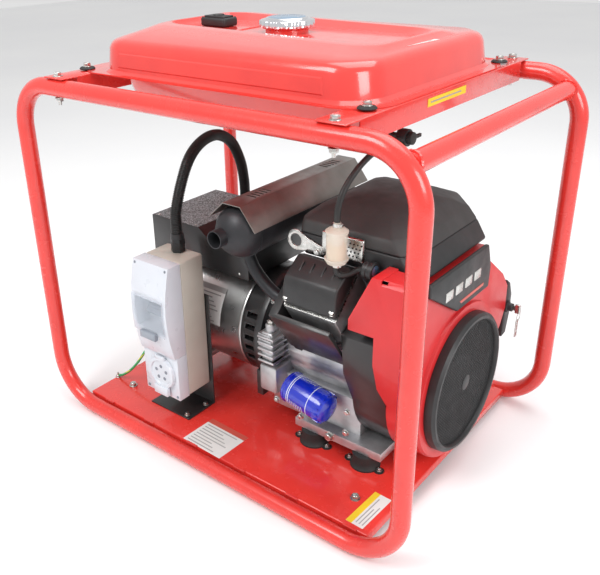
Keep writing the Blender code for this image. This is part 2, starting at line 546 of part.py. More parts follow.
def build_engine_fittings():
    """Oil filter, starter, lifting eye and key switch."""
    add_part("oil_filter", turned_mesh(
        [(0.0, 0.0), (0.030, 0.0), (0.0325, 0.004), (0.0325, 0.082), (0.030, 0.096), (0.022, 0.102), (0.0, 0.102)],
        (0.1010, -0.1480, 0.162), (0.98, -0.10, -0.12), sides=32), BLUE)
    starter = add_part("starter_motor", cone_mesh((0.045, 0.150, 0.160), (1, 0, 0), 0.150, 0.030, sides=28), BLACK)
    join(starter, cone_mesh((0.060, 0.150, 0.198), (1, 0, 0), 0.070, 0.016, sides=20))
    join(starter, box_mesh((0.100, 0.1124, 0.140), (0.120, 0.152, 0.175)))

    eye_y = -0.1520
    eye = add_part("lifting_eye", plate_mesh(
        arc((0.1195, 0.4805), 0.0195, 50, 290, 14) + [(0.140, 0.4640), (0.172, 0.4625), (0.183, 0.4680), (0.182, 0.4780),
                                                    (0.148, 0.4880)],
        "Y", eye_y, eye_y + 0.0032), CHROME)
    cut(eye, cone_mesh((0.1195, eye_y - 0.010, 0.4805), (0, 1, 0), 0.030, 0.0120, sides=20))

    panel = [(0.2085, 0.205), (0.2280, 0.208), (0.2380, 0.250), (0.2380, 0.293), (0.2240, 0.323), (0.2085, 0.335)]
    switch = add_part("key_switch", plate_mesh(panel, "X", 0.3480, 0.3780), BLACK)
    join(switch, cone_mesh((0.3770, *KEY), (1, 0, 0), 0.014, 0.0085, sides=20))
    key = add_part("ignition_key", box_mesh((0.3913, KEY[0] - 0.0012, KEY[1] - 0.005), (0.3960, KEY[0] + 0.0012,
                                                                                        KEY[1] + 0.005)), STEEL)
    join(key, box_mesh((0.3955, KEY[0] - 0.0030, KEY[1] - 0.010), (0.4070, KEY[0] + 0.0030, KEY[1] + 0.010),
                       bevel=0.002))
    set_origin(key, (0.3913, *KEY))


def build_exhaust():
    """A lying muffler with its tail pipe, the folded heat shield and the near exhaust pipe."""
    x, z = MUFFLER
    muffler = add_part("muffler", turned_mesh(
        [(0.0, 0.0), (0.020, 0.003), (0.037, 0.012), (0.046, 0.024), (0.050, 0.040), (0.050, 0.350), (0.043, 0.361),
         (0.026, 0.368), (0.0, 0.370), (0.0, 0.3682), (0.025, 0.3662), (0.0415, 0.3595), (0.0482, 0.349),
         (0.0482, 0.041), (0.0445, 0.026), (0.036, 0.0142), (0.0195, 0.005), (0.0, 0.0018)],
        (x, -0.222, z), (0, 1, 0)), SOOT)
    tail_x, tail_z = x - 0.012, z - 0.002
    join(muffler, cone_mesh((tail_x, -0.240, tail_z), (0, 1, 0), 0.060, 0.0170, sides=24))
    cut(muffler, cone_mesh((tail_x, -0.250, tail_z), (0, 1, 0), 0.080, 0.0152, sides=24))
    outer = [(x - 0.054, z + 0.026), (x - 0.020, z + 0.0580), (x + 0.022, z + 0.0580), (x + 0.056, z + 0.015)]
    inner = [(x + 0.0548, z + 0.0140), (x + 0.0213, z + 0.0563), (x - 0.0193, z + 0.0563), (x - 0.0530, z + 0.0247)]
    shield = add_part("heat_shield", plate_mesh(outer + inner, "Y", -0.205, 0.168), STEEL)
    for k in range(5):
        for slot_y in (-0.150 + 0.011 * k, 0.080 + 0.011 * k):
            cut(shield, box_mesh((x - 0.010, slot_y, z + 0.050), (x + 0.012, slot_y + 0.0045, z + 0.065)))
    port_y, port_z = EXHAUST_PORT
    pipe = [(x - 0.006, port_y, z - MUFFLER_R - 0.0006), (x - 0.006, port_y, z - 0.060), (x + 0.003, port_y, z - 0.080),
            (x + 0.024, port_y, z - 0.103), (x + 0.055, port_y, z - 0.124), (x + 0.090, port_y, port_z),
            (x + 0.1060, port_y, port_z), (HEAD_X - 0.0555, port_y, port_z)]
    add_tube("exhaust_pipe", smooth_route(pipe, 0.010), 0.0125, SOOT, resolution=3)


# ---------------------------------------------------------------- alternator
def build_alternator():
    """The wrapped stator barrel, its two end brackets and the control box on top."""
    barrel = add_part("alternator_barrel", turned_mesh(
        [(0.1200, 0.0), (BARREL_R, 0.0), (BARREL_R, 0.1950), (0.1200, 0.1950), (0.1200, 0.1650), (0.0780, 0.1650),
         (0.0780, 0.0300), (0.1200, 0.0300)], (-0.2450, 0, CRANK_Z), (1, 0, 0), sides=48), STEEL)
    rear = add_part("rear_bracket", turned_mesh(
        [(0.0184, 0.0), (0.060, 0.0), (0.112, 0.010), (0.1180, 0.022), (0.1180, 0.0547), (0.1120, 0.0547),
         (0.1120, 0.024), (0.104, 0.016), (0.058, 0.006), (0.030, 0.006), (0.030, 0.020), (0.0184, 0.020)],
        (-0.3000, 0, CRANK_Z), (1, 0, 0), sides=32), ALUMINIUM)
    foot_low = TRAY_TOP + GAP + 0.0320 + GAP
    join(rear, box_mesh((-0.262, -0.095, foot_low), (-0.214, 0.095, foot_low + 0.012)))
    join(rear, box_mesh((-0.258, -0.070, foot_low + 0.006), (-0.2456, 0.070, 0.118)))
    for k in range(8):
        slot = box_mesh((-0.330, -0.010, 0.066), (-0.280, 0.010, 0.096))
        turn = Matrix.Translation((0, 0, CRANK_Z)) @ Matrix.Rotation(math.tau * k / 8, 4, "X")
        bmesh.ops.transform(slot, matrix=turn, verts=slot.verts)
        cut(rear, slot)

    drive = add_part("drive_end_bracket", turned_mesh(
        [(0.108, 0.0), (0.1215, 0.0), (0.1215, 0.044), (0.1360, 0.046), (0.1360, 0.0620), (0.108, 0.0620)],
        (-0.0497, 0, CRANK_Z), (1, 0, 0), sides=40), BLACK)
    join(drive, box_mesh((-0.003, -0.128, 0.092), (0.0123, 0.128, 0.150)))
    cut(drive, cone_mesh((-0.060, 0, CRANK_Z), (1, 0, 0), 0.100, 0.1080, sides=40))
    for k in range(5):
        z = CRANK_Z - 0.050 + 0.024 * k
        cut(drive, box_mesh((-0.040, -0.200, z), (-0.012, 0.200, z + 0.011)))

    low = CRANK_Z + BARREL_R + 0.0010
    profile = [(-0.315, low), (-0.040, low), (-0.040, 0.392), (-0.150, 0.402), (-0.176, 0.4200), (-0.315, 0.4200)]
    box = add_part("control_box", plate_mesh(profile, "Y", -0.102, 0.106), BLACK)
    inside = [(-0.313, low + 0.002), (-0.042, low + 0.002), (-0.042, 0.3902), (-0.150, 0.4002), (-0.1765, 0.4180),
              (-0.313, 0.4180)]
    cut(box, plate_mesh(inside, "Y", -0.100, 0.104))
    cut(box, cone_mesh((-0.200, 0.080, 0.405), (0, 0, 1), 0.030, 0.0110, sides=20))


# ---------------------------------------------------------------- outlet box
def lid_outline(low, high, face, bow):
    """The side view of a lid between two heights, as (Y, Z), its front at face and bowed outwards."""
    front = [(face - bow * math.sin(math.pi * k / 8), high - (high - low) * k / 8) for k in range(9)]
    return [(BOX_SEAM - GAP, low), (BOX_SEAM - GAP, high)] + front


WINDOW = ((-0.206, -0.130), (0.250, 0.318))
SOCKET = (-0.164, 0.142)  # the socket's middle, X and Z
GLAND = (-0.166, -0.172)  # the conduit's axis where it leaves the box, X and Y


def build_outlet():
    """The outlet box on its bracket, its two lids, the breaker window and the socket."""
    x_low, x_high = BOX_X
    z_low, z_high = BOX_Z
    web = add_part("outlet_bracket", box_mesh((-0.227, -0.2315, TRAY_TOP + GAP), (-0.1106, -0.1479, TRAY_TOP + GAP + SHEET)),
                   BLACK)
    join(web, box_mesh((-0.227, -0.1509, TRAY_TOP + GAP), (-0.1106, -0.1479, 0.3000)))
    base = add_part("outlet_box_base", box_mesh((x_low, BOX_SEAM, z_low), (x_high, BOX_BACK, z_high), bevel=0.005), BEIGE)
    cut(base, box_mesh((x_low + 0.003, BOX_SEAM - 0.010, z_low + 0.003), (x_high - 0.003, BOX_BACK - 0.003,
                                                                         z_high - 0.003)))
    cut(base, cone_mesh((*GLAND, z_high - 0.010), (0, 0, 1), 0.030, 0.0110, sides=20))

    upper = add_part("outlet_lid_upper", plate_mesh(lid_outline(LID_SPLIT + GAP, z_high - 0.0005, BOX_FRONT, 0.016), "X", x_low,
                                                    x_high), CLEAR)
    cut(upper, box_mesh((x_low + 0.003, -0.2440, LID_SPLIT + 0.004), (x_high - 0.003, -0.2000, z_high - 0.004)))
    (wx0, wx1), (wz0, wz1) = WINDOW
    cut(upper, box_mesh((wx0, -0.300, wz0), (wx1, -0.2300, wz1)))
    tray = box_mesh((wx0 - 0.004, -0.2270, wz0 - 0.004), (wx1 + 0.004, -0.2230, wz1 + 0.004))
    join(upper, tray)
    for x in (wx0 - 0.004, wx1 + 0.001):
        join(upper, box_mesh((x, -0.2500, wz0 - 0.004), (x + 0.003, -0.2235, wz1 + 0.004)))
    for z in (wz0 - 0.004, wz1 + 0.001):
        join(upper, box_mesh((wx0 - 0.004, -0.2500, z), (wx1 + 0.004, -0.2235, z + 0.003)))

    toggle_z = 0.286
    toggle = add_part("breaker_toggle", cone_mesh((-0.198, -0.2340, toggle_z), (1, 0, 0), 0.060, 0.0060, sides=16), BLACK)
    blade = box_mesh((-0.196, -0.0155, -0.0025), (-0.140, 0.0, 0.0025))
    throw = Matrix.Translation((0, -0.2340, toggle_z)) @ Matrix.Rotation(math.radians(30), 4, "X")
    bmesh.ops.transform(blade, matrix=throw, verts=blade.verts)
    join(toggle, blade)
    set_origin(toggle, (-0.168, -0.2340, toggle_z))

    hinge_z = wz1 + 0.006
    flap = add_part("window_flap", plate_mesh([(-0.2664, wz0 - 0.008), (-0.2690, wz0 - 0.006), (-0.2705, wz0 + 0.030),
                                               (-0.2700, wz1 - 0.010), (-0.2690, hinge_z + 0.001), (-0.2668, hinge_z + 0.001)],
                                              "X", wx0 - 0.006, wx1 + 0.006), CLEAR)
    join(flap, box_mesh((-0.190, -0.2745, wz0 - 0.018), (-0.146, -0.2650, wz0 - 0.001), bevel=0.002))
    set_origin(flap, (-0.168, -0.2670, hinge_z))

    lower = add_part("outlet_lid_lower", plate_mesh(lid_outline(z_low + 0.0005, LID_SPLIT - GAP, LOWER_FRONT, 0.0), "X", x_low,
                                                    x_high), CLEAR)
    cut(lower, cone_mesh((SOCKET[0], -0.2600, SOCKET[1]), (0, 1, 0), 0.0260, 0.0260, sides=32))
    cut(lower, box_mesh((x_low + 0.003, -0.2280, z_low + 0.004), (x_high - 0.003, -0.2000, LID_SPLIT - 0.004)))
    for k in range(5):
        a = math.radians(90 + 72 * k)
        cut(lower, cone_mesh((SOCKET[0] + 0.014 * math.cos(a), -0.2400, SOCKET[1] + 0.014 * math.sin(a)), (0, 1, 0),
                             0.0250, 0.0034, sides=12))

    x, z = SOCKET
    face = LOWER_FRONT - GAP
    socket_flap = add_part("socket_flap", cone_mesh((x, face, z), (0, -1, 0), 0.0080, 0.0370, 0.0350, sides=32), CLEAR)
    join(socket_flap, box_mesh((x - 0.014, face - 0.0080, z + 0.0320), (x + 0.014, face - 0.0030, z + 0.0415)))
    join(socket_flap, box_mesh((x - 0.022, face - 0.0120, z - 0.0520), (x + 0.022, face - 0.0020, z - 0.0300),
                               bevel=0.002))
    set_origin(socket_flap, (x, face - 0.0055, z + 0.0390))


def build_cables():
    """The conduit from the outlet box to the control box, its lower gland, and the earth cable."""
    gland_low = BOX_Z[1] + GAP
    add_part("conduit_gland", turned_mesh(
        [(0.0, 0.0), (0.0180, 0.0), (0.0180, 0.009), (0.0145, 0.011), (0.0145, 0.018), (0.0165, 0.020), (0.0165, 0.036),
         (0.0145, 0.040), (0.0, 0.040)], (*GLAND, gland_low), (0, 0, 1), sides=24), BLACK)
    conduit = [(*GLAND, gland_low + 0.0405), (*GLAND, 0.452), (-0.1665, -0.170, 0.478), (-0.170, -0.148, 0.527),
               (-0.174, -0.115, 0.574), (-0.180, -0.070, 0.597), (-0.187, -0.017, 0.598), (-0.194, 0.033, 0.571),
               (-0.198, 0.065, 0.522), (-0.1995, 0.077, 0.478), (-0.200, 0.080, 0.445), (-0.200, 0.080, 0.4206)]
    add_tube("conduit", smooth_route(conduit, 0.018), 0.0120, RUBBER, resolution=3)
    earth = [(-0.361, -0.208, 0.0385), (-0.345, -0.207, 0.047), (-0.322, -0.204, 0.066), (-0.300, -0.196, 0.094),
             (-0.288, -0.178, 0.124), (-0.284, -0.152, 0.150), (-0.282, -0.1290, 0.165)]
    add_tube("earth_cable", smooth_route(earth, 0.008), 0.0030, EARTH)


build_cradle()
build_tank()
build_isolators()
build_crankcase()
build_crankshaft()
build_top_end()
build_shrouds()
build_air_cleaner()
build_engine_fittings()
build_exhaust()
build_alternator()
build_outlet()
build_cables()
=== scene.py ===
"""Looks of an open-frame V-twin generator set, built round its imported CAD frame."""

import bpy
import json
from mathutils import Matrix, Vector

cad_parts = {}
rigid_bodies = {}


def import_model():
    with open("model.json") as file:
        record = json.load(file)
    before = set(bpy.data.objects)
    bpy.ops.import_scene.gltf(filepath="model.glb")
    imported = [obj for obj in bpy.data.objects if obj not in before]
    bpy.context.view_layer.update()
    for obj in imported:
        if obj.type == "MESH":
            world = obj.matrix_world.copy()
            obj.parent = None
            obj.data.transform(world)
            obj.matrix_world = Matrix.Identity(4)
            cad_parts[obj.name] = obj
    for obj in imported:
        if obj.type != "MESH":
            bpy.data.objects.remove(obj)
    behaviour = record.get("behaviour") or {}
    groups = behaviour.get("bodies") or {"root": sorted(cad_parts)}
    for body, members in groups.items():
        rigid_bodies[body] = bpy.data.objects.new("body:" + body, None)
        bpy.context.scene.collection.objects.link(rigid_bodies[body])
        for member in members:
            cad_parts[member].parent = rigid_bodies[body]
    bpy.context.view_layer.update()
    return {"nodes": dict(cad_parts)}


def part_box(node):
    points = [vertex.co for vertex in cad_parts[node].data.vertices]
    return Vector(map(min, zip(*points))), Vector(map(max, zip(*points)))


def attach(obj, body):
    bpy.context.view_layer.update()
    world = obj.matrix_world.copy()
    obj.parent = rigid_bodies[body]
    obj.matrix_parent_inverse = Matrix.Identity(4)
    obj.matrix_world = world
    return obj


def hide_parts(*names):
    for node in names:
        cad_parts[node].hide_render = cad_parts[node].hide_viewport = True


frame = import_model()

import json
import logging
import math
from dataclasses import dataclass
from enum import Enum
from typing import Callable, Iterable, Sequence

import bmesh
import bpy
from mathutils import Matrix, Vector

log = logging.getLogger("generator_set")

Point = Sequence[float]
Colour = tuple[float, float, float]

MAIN = "cradle_and_engine"
UP = (0.0, 0.0, 1.0)
DOWN = (0.0, 0.0, -1.0)
NEAR = (0.0, -1.0, 0.0)
FAR = (0.0, 1.0, 0.0)
FAN_END = (1.0, 0.0, 0.0)
DRIVE_END = (-1.0, 0.0, 0.0)
CRANK_Z = 0.210
ROOF_FALL = 0.018    # how much the tank's roof falls for each metre towards the fan
ROOF_START = 0.812   # the height from which it falls


# ---------------------------------------------------------------- finishes
class Grain(Enum):
    """How a finish's fine texture is laid."""

    PEEL = "peel"
    CAST = "cast"
    BRUSHED_ROUND = "brushed_round"
    BRUSHED_LONG = "brushed_long"
    LEATHER = "leather"
    SPECKLE = "speckle"
    SCRATCH = "scratch"


class Graph:
    """A material's node tree, with short calls for the few nodes that the finishes share."""

    def __init__(self, name: str) -> None:
        """Starts a material that has only its shader.

        Args:
            name: The material's name.
        """
        self.material = bpy.data.materials.new(name)
        self.material.use_nodes = True
        self.nodes = self.material.node_tree.nodes
        self.links = self.material.node_tree.links
        self.shader = self.nodes["Principled BSDF"]
        self.place = self.nodes.new("ShaderNodeTexCoord").outputs["Object"]
        self.normal = None

    def fix(self, **values: float | Colour) -> None:
        """Sets the shader's own sockets, named with _ for each space.

        Args:
            **values: The sockets' names and values.
        """
        for name, value in values.items():
            socket = self.shader.inputs[name.replace("_", " ")]
            socket.default_value = (*value, 1.0) if isinstance(value, tuple) else value

    def feed(self, socket: str, source: bpy.types.NodeSocket) -> None:
        """Joins a texture to one of the shader's sockets."""
        self.links.new(source, self.shader.inputs[socket])

    def mapped(self, stretch: Point) -> bpy.types.NodeSocket:
        """Gives the object's coordinates.

        Args:
            stretch: How much they are stretched along each axis.

        Returns:
            The coordinates.
        """
        node = self.nodes.new("ShaderNodeMapping")
        node.inputs["Scale"].default_value = stretch
        self.links.new(self.place, node.inputs["Vector"])
        return node.outputs["Vector"]

    def noise(self, scale: float, detail: float = 4.0, stretch: Point = (1, 1, 1)) -> bpy.types.NodeSocket:
        """Makes a noise texture.

        Args:
            scale: Features per metre.
            detail: Octaves.
            stretch: How much faster it changes along each axis.

        Returns:
            The noise's value, from 0 to 1.
        """
        node = self.nodes.new("ShaderNodeTexNoise")
        node.inputs["Scale"].default_value = scale
        node.inputs["Detail"].default_value = detail
        self.links.new(self.mapped(stretch), node.inputs["Vector"])
        return node.outputs["Fac"]

    def cells(self, scale: float) -> bpy.types.NodeSocket:
        """Makes a cell texture.

        Args:
            scale: Cells per metre.

        Returns:
            The distance from each cell's middle.
        """
        node = self.nodes.new("ShaderNodeTexVoronoi")
        node.inputs["Scale"].default_value = scale
        self.links.new(self.place, node.inputs["Vector"])
        return node.outputs["Distance"]

    def ramp(self, value: bpy.types.NodeSocket, *stops: tuple[float, Colour]) -> bpy.types.NodeSocket:
        """Turns a value into a colour.

        Args:
            value: What drives the colour.
            *stops: Places from 0 to 1, each with its colour.

        Returns:
            The colour.
        """
        node = self.nodes.new("ShaderNodeValToRGB")
        elements = node.color_ramp.elements
        while len(elements) < len(stops):
            elements.new(0.5)
        for element, (place, colour) in zip(elements, stops):
            element.position = place
            element.color = (*colour, 1.0)
        self.links.new(value, node.inputs["Fac"])
        return node.outputs["Color"]

    def spread(self, value: bpy.types.NodeSocket, low: float, high: float) -> bpy.types.NodeSocket:
        """Maps the middle of a noise's range to a range of its own.

        Args:
            value: The noise.
            low: What it becomes at its low end.
            high: What it becomes at its high end.

        Returns:
            The new value.
        """
        node = self.nodes.new("ShaderNodeMapRange")
        node.inputs["From Min"].default_value = 0.3
        node.inputs["From Max"].default_value = 0.7
        node.inputs["To Min"].default_value = low
        node.inputs["To Max"].default_value = high
        self.links.new(value, node.inputs["Value"])
        return node.outputs["Result"]

    def raise_grain(self, height: bpy.types.NodeSocket, depth: float, strength: float = 1.0) -> None:
        """Adds a bump to the shader, on top of those already there.

        Args:
            height: The texture that stands for height.
            depth: Its full height in metres.
            strength: How strongly it turns the light.
        """
        node = self.nodes.new("ShaderNodeBump")
        node.inputs["Distance"].default_value = depth
        node.inputs["Strength"].default_value = strength
        self.links.new(height, node.inputs["Height"])
        if self.normal is not None:
            self.links.new(self.normal, node.inputs["Normal"])
        self.normal = node.outputs["Normal"]
        self.feed("Normal", self.normal)


@dataclass(frozen=True)
class Finish:
    """A surface: two close colours in patches, a roughness that varies, and a fine grain."""

    name: str
    slot: str
    colour: Colour
    worn: Colour
    rough: tuple[float, float]
    grain: Grain
    scale: float
    depth: float
    metal: float = 0.0
    coat: float = 0.0
    patches: float = 14.0
    alpha: float = 1.0
    through: float = 0.0

    def material(self) -> bpy.types.Material:
        """Builds the material once and gives it back after that.

        Returns:
            The material.
        """
        made = bpy.data.materials.get(self.name)
        if made:
            return made
        graph = Graph(self.name)
        graph.fix(Metallic=self.metal, Coat_Weight=self.coat, Coat_Roughness=0.08, Alpha=self.alpha,
                  Transmission_Weight=self.through)
        patch = graph.noise(self.patches, 5.0)
        graph.feed("Base Color", self.colours(graph, patch))
        graph.feed("Roughness", graph.spread(graph.noise(self.patches * 3.1, 6.0), *self.rough))
        self.texture(graph)
        return graph.material

    def colours(self, graph: Graph, patch: bpy.types.NodeSocket) -> bpy.types.NodeSocket:
        """Gives the colour: patches, or light grains on a dark ground for a speckle.

        Args:
            graph: The material's nodes.
            patch: The noise that lays the patches.

        Returns:
            The colour.
        """
        if self.grain is Grain.SPECKLE:
            return graph.ramp(graph.noise(self.scale, 2.0), (0.46, self.colour), (0.60, self.worn))
        return graph.ramp(patch, (0.34, self.colour), (0.72, self.worn))

    def texture(self, graph: Graph) -> None:
        """Lays the grain on the surface.

        Args:
            graph: The material's nodes.
        """
        stretches = {Grain.BRUSHED_LONG: (0.03, 1.0, 1.0), Grain.BRUSHED_ROUND: (1.0, 0.06, 0.06),
                     Grain.SCRATCH: (0.15, 1.0, 0.4)}
        if self.grain is Grain.LEATHER:
            graph.raise_grain(graph.cells(self.scale), self.depth, 0.7)
            graph.raise_grain(graph.noise(self.scale * 2.5), self.depth * 0.5, 0.5)
            return
        stretch = stretches.get(self.grain, (1.0, 1.0, 1.0))
        detail = 2.0 if self.grain is Grain.PEEL else 8.0
        graph.raise_grain(graph.noise(self.scale, detail, stretch), self.depth, 0.6)
        if self.grain is Grain.CAST:
            graph.raise_grain(graph.cells(self.scale * 0.6), self.depth * 0.6, 0.4)


RED_COAT = Finish("red_powder_coat", "cradle_paint", (0.72, 0.040, 0.030), (0.64, 0.032, 0.026),
                  (0.20, 0.30),
                  Grain.PEEL, 420.0, 0.00006, coat=0.5)
TANK_RED = Finish("tank_red_gloss", "tank_paint", (0.74, 0.045, 0.034), (0.66, 0.036, 0.030), (0.16, 0.26),
                  Grain.PEEL, 300.0, 0.00005, coat=0.7)
COVER_RED = Finish("cover_red_satin", "fan_cover_paint", (0.62, 0.020, 0.022), (0.54, 0.016, 0.020),
                   (0.36, 0.46),
                   Grain.LEATHER, 1600.0, 0.00005, coat=0.15)
CHROME = Finish("cap_chrome_plate", "cap_chrome", (0.80, 0.81, 0.83), (0.72, 0.74, 0.78), (0.08, 0.18),
                Grain.SCRATCH, 500.0, 0.00002, metal=1.0)
CAP_BLUE = Finish("cap_blue_film", "cap_chrome", (0.16, 0.36, 0.60), (0.30, 0.50, 0.70), (0.12, 0.24),
                  Grain.SCRATCH, 500.0, 0.00002, metal=0.8, coat=0.5)
BLACK_PLASTIC = Finish("black_moulded_plastic", "black_plastic", (0.014, 0.014, 0.015),
                       (0.022, 0.022, 0.023),
                       (0.38, 0.52), Grain.LEATHER, 1500.0, 0.00005)
GRAINED = Finish("grained_dark_plastic", "grained_plastic", (0.030, 0.029, 0.029), (0.042, 0.040, 0.039),
                 (0.50, 0.64), Grain.LEATHER, 900.0, 0.00014)
BLACK_PAINT = Finish("black_baked_paint", "black_paint", (0.013, 0.013, 0.014), (0.024, 0.023, 0.023),
                     (0.28, 0.42), Grain.PEEL, 700.0, 0.00007, coat=0.2)
WRINKLE = Finish("black_wrinkle_paint", "black_paint", (0.014, 0.014, 0.015), (0.030, 0.029, 0.029),
                 (0.34, 0.50), Grain.CAST, 700.0, 0.00022)
SPECKLED = Finish("speckled_grey_paint", "black_paint", (0.035, 0.035, 0.037), (0.34, 0.35, 0.36),
                  (0.40, 0.55), Grain.SPECKLE, 420.0, 0.00020)
RUBBER = Finish("soft_black_rubber", "rubber", (0.012, 0.012, 0.012), (0.024, 0.023, 0.022), (0.55, 0.75),
                Grain.LEATHER, 1100.0, 0.00006)
HOSE = Finish("smooth_black_hose", "rubber", (0.013, 0.013, 0.013), (0.022, 0.021, 0.020), (0.36, 0.50),
              Grain.PEEL, 900.0, 0.00004)
CAST = Finish("sand_cast_aluminium", "cast_aluminium", (0.60, 0.60, 0.61), (0.40, 0.40, 0.41), (0.34, 0.52),
              Grain.CAST, 520.0, 0.00016, metal=0.85, patches=26.0)
STEEL = Finish("machined_steel", "machined_steel", (0.50, 0.49, 0.47), (0.36, 0.35, 0.34), (0.24, 0.40),
               Grain.BRUSHED_ROUND, 1400.0, 0.00003, metal=1.0)
ZINC = Finish("bright_zinc_plate", "zinc_steel", (0.66, 0.66, 0.64), (0.48, 0.47, 0.44), (0.20, 0.36),
              Grain.SCRATCH, 900.0, 0.00003, metal=1.0, patches=60.0)
STAINLESS = Finish("brushed_stainless_sheet", "stainless_sheet", (0.58, 0.58, 0.57), (0.48, 0.48, 0.48),
                   (0.26, 0.40), Grain.BRUSHED_ROUND, 900.0, 0.00004, metal=1.0)
WARM_SHEET = Finish("heat_tinted_sheet", "stainless_sheet", (0.30, 0.275, 0.255), (0.20, 0.18, 0.165),
                    (0.30, 0.46), Grain.BRUSHED_LONG, 900.0, 0.00004, metal=0.95)
EXHAUST = Finish("matt_exhaust_black", "exhaust_paint", (0.018, 0.019, 0.022), (0.040, 0.040, 0.044),
                 (0.36, 0.54), Grain.CAST, 600.0, 0.00008, metal=0.35)
OIL_BLUE = Finish("filter_blue_enamel", "blue_paint", (0.004, 0.018, 0.42), (0.006, 0.026, 0.52),
                  (0.14, 0.22),
                  Grain.PEEL, 500.0, 0.00003, coat=0.8)
WHITE_LINE = Finish("printed_white_bars", "blue_paint", (0.70, 0.74, 0.84), (0.62, 0.66, 0.78),
                    (0.20, 0.30),
                    Grain.PEEL, 500.0, 0.00002)
BEIGE = Finish("box_beige_plastic", "box_plastic", (0.52, 0.49, 0.43), (0.46, 0.43, 0.37), (0.38, 0.50),
               Grain.LEATHER, 1300.0, 0.00005)
LID = Finish("lid_pale_grey_plastic", "lid_plastic", (0.66, 0.69, 0.74), (0.60, 0.63, 0.68), (0.26, 0.36),
             Grain.PEEL, 700.0, 0.00003, coat=0.2)
GREY = Finish("mid_grey_plastic", "lid_plastic", (0.24, 0.27, 0.31), (0.19, 0.21, 0.25), (0.34, 0.44),
              Grain.LEATHER, 1300.0, 0.00004)
CLEAR = Finish("smoked_clear_window", "clear_plastic", (0.62, 0.68, 0.76), (0.54, 0.60, 0.68), (0.06, 0.12),
               Grain.PEEL, 300.0, 0.00003, coat=0.6, alpha=0.26)
AMBER = Finish("amber_petrol", "filter_plastic", (0.62, 0.34, 0.10), (0.70, 0.44, 0.18), (0.16, 0.26),
               Grain.PEEL, 200.0, 0.00003)
MILKY = Finish("milky_filter_plastic", "filter_plastic", (0.82, 0.76, 0.66), (0.76, 0.68, 0.56),
               (0.24, 0.34),
               Grain.PEEL, 400.0, 0.00003, coat=0.3, alpha=0.62)
LABEL = Finish("blank_vinyl_label", "cradle_paint", (0.80, 0.79, 0.77), (0.73, 0.72, 0.70), (0.28, 0.38),
               Grain.PEEL, 500.0, 0.00002, coat=0.3)
LABEL_GREY = Finish("label_grey_bars", "cradle_paint", (0.30, 0.29, 0.29), (0.40, 0.39, 0.38), (0.32, 0.42),
                    Grain.PEEL, 500.0, 0.00002)
LABEL_RED = Finish("label_red_header", "cradle_paint", (0.60, 0.10, 0.07), (0.52, 0.08, 0.06), (0.30, 0.40),
                   Grain.PEEL, 500.0, 0.00002)
LABEL_YELLOW = Finish("label_yellow_field", "cradle_paint", (0.85, 0.60, 0.03), (0.78, 0.54, 0.03),
                      (0.30, 0.40),
                      Grain.PEEL, 500.0, 0.00002)
LABEL_ORANGE = Finish("label_orange_header", "black_paint", (0.80, 0.26, 0.04), (0.72, 0.22, 0.04),
                      (0.30, 0.40),
                      Grain.PEEL, 500.0, 0.00002)
GREEN = Finish("earth_green_sheath", "earth_insulation", (0.03, 0.34, 0.10), (0.05, 0.40, 0.14),
               (0.34, 0.46),
               Grain.PEEL, 800.0, 0.00003)
YELLOW = Finish("earth_yellow_stripe", "earth_insulation", (0.70, 0.62, 0.05), (0.62, 0.55, 0.05),
                (0.34, 0.46),
                Grain.PEEL, 800.0, 0.00003)
RED_LENS = Finish("red_indicator_lens", "lid_plastic", (0.75, 0.03, 0.02), (0.65, 0.02, 0.02), (0.10, 0.20),
                  Grain.PEEL, 300.0, 0.00003, coat=0.8)
# Near-black painted shade: it stands for the insides of holes and of the housing behind the fan grille, which
# are dark only from shade.
PAINTED_SHADE = Finish("painted_shade_in_hollows", "black_plastic", (0.004, 0.004, 0.004), (0.008, 0.008, 0.008), (0.70, 0.90),
              Grain.LEATHER, 900.0, 0.00004)


# ---------------------------------------------------------------- shaping
def facing(at: Point, axis: Point, turn: float = 0.0) -> Matrix:
    """Gives the place of a thing that stands at a point and looks along an axis.

    Args:
        at: Where it stands.
        axis: Where its own Z goes. Its Y stays as upright as it can.
        turn: Degrees that it is turned round that axis.

    Returns:
        The matrix.
    """
    look = Vector(axis).normalized()
    if abs(look.z) > 0.999:
        base = Matrix.Identity(4) if look.z > 0 else Matrix.Rotation(math.pi, 4, "X")
    else:
        base = look.to_track_quat("Z", "Y").to_matrix().to_4x4()
    return Matrix.Translation(at) @ base @ Matrix.Rotation(math.radians(turn), 4, "Z")


def smooth_path(knots: Sequence[Point], step: float) -> list[Vector]:
    """Runs an even, smooth route through knots.

    Args:
        knots: The points that it passes.
        step: The distance between its points.

    Returns:
        The route's points.
    """
    pts = [Vector(k) for k in knots]
    pts = [pts[0] * 2 - pts[1]] + pts + [pts[-1] * 2 - pts[-2]]
    fine = []
    for a, b, c, d in zip(pts, pts[1:], pts[2:], pts[3:]):
        for k in range(24):
            t = k / 24
            fine.append(0.5 * (2 * b + (c - a) * t + (2 * a - 5 * b + 4 * c - d) * t ** 2
                               + (3 * b - a - 3 * c + d) * t ** 3))
    fine.append(pts[-2])
    route, spare = [fine[0]], 0.0
    for a, b in zip(fine, fine[1:]):
        span = (b - a).length
        while spare + span >= step:
            a = a.lerp(b, (step - spare) / span)
            span = (b - a).length
            spare = 0.0
            route.append(a.copy())
        spare += span
    if (route[-1] - fine[-1]).length > step * 0.3:
        route.append(fine[-1])
    return route


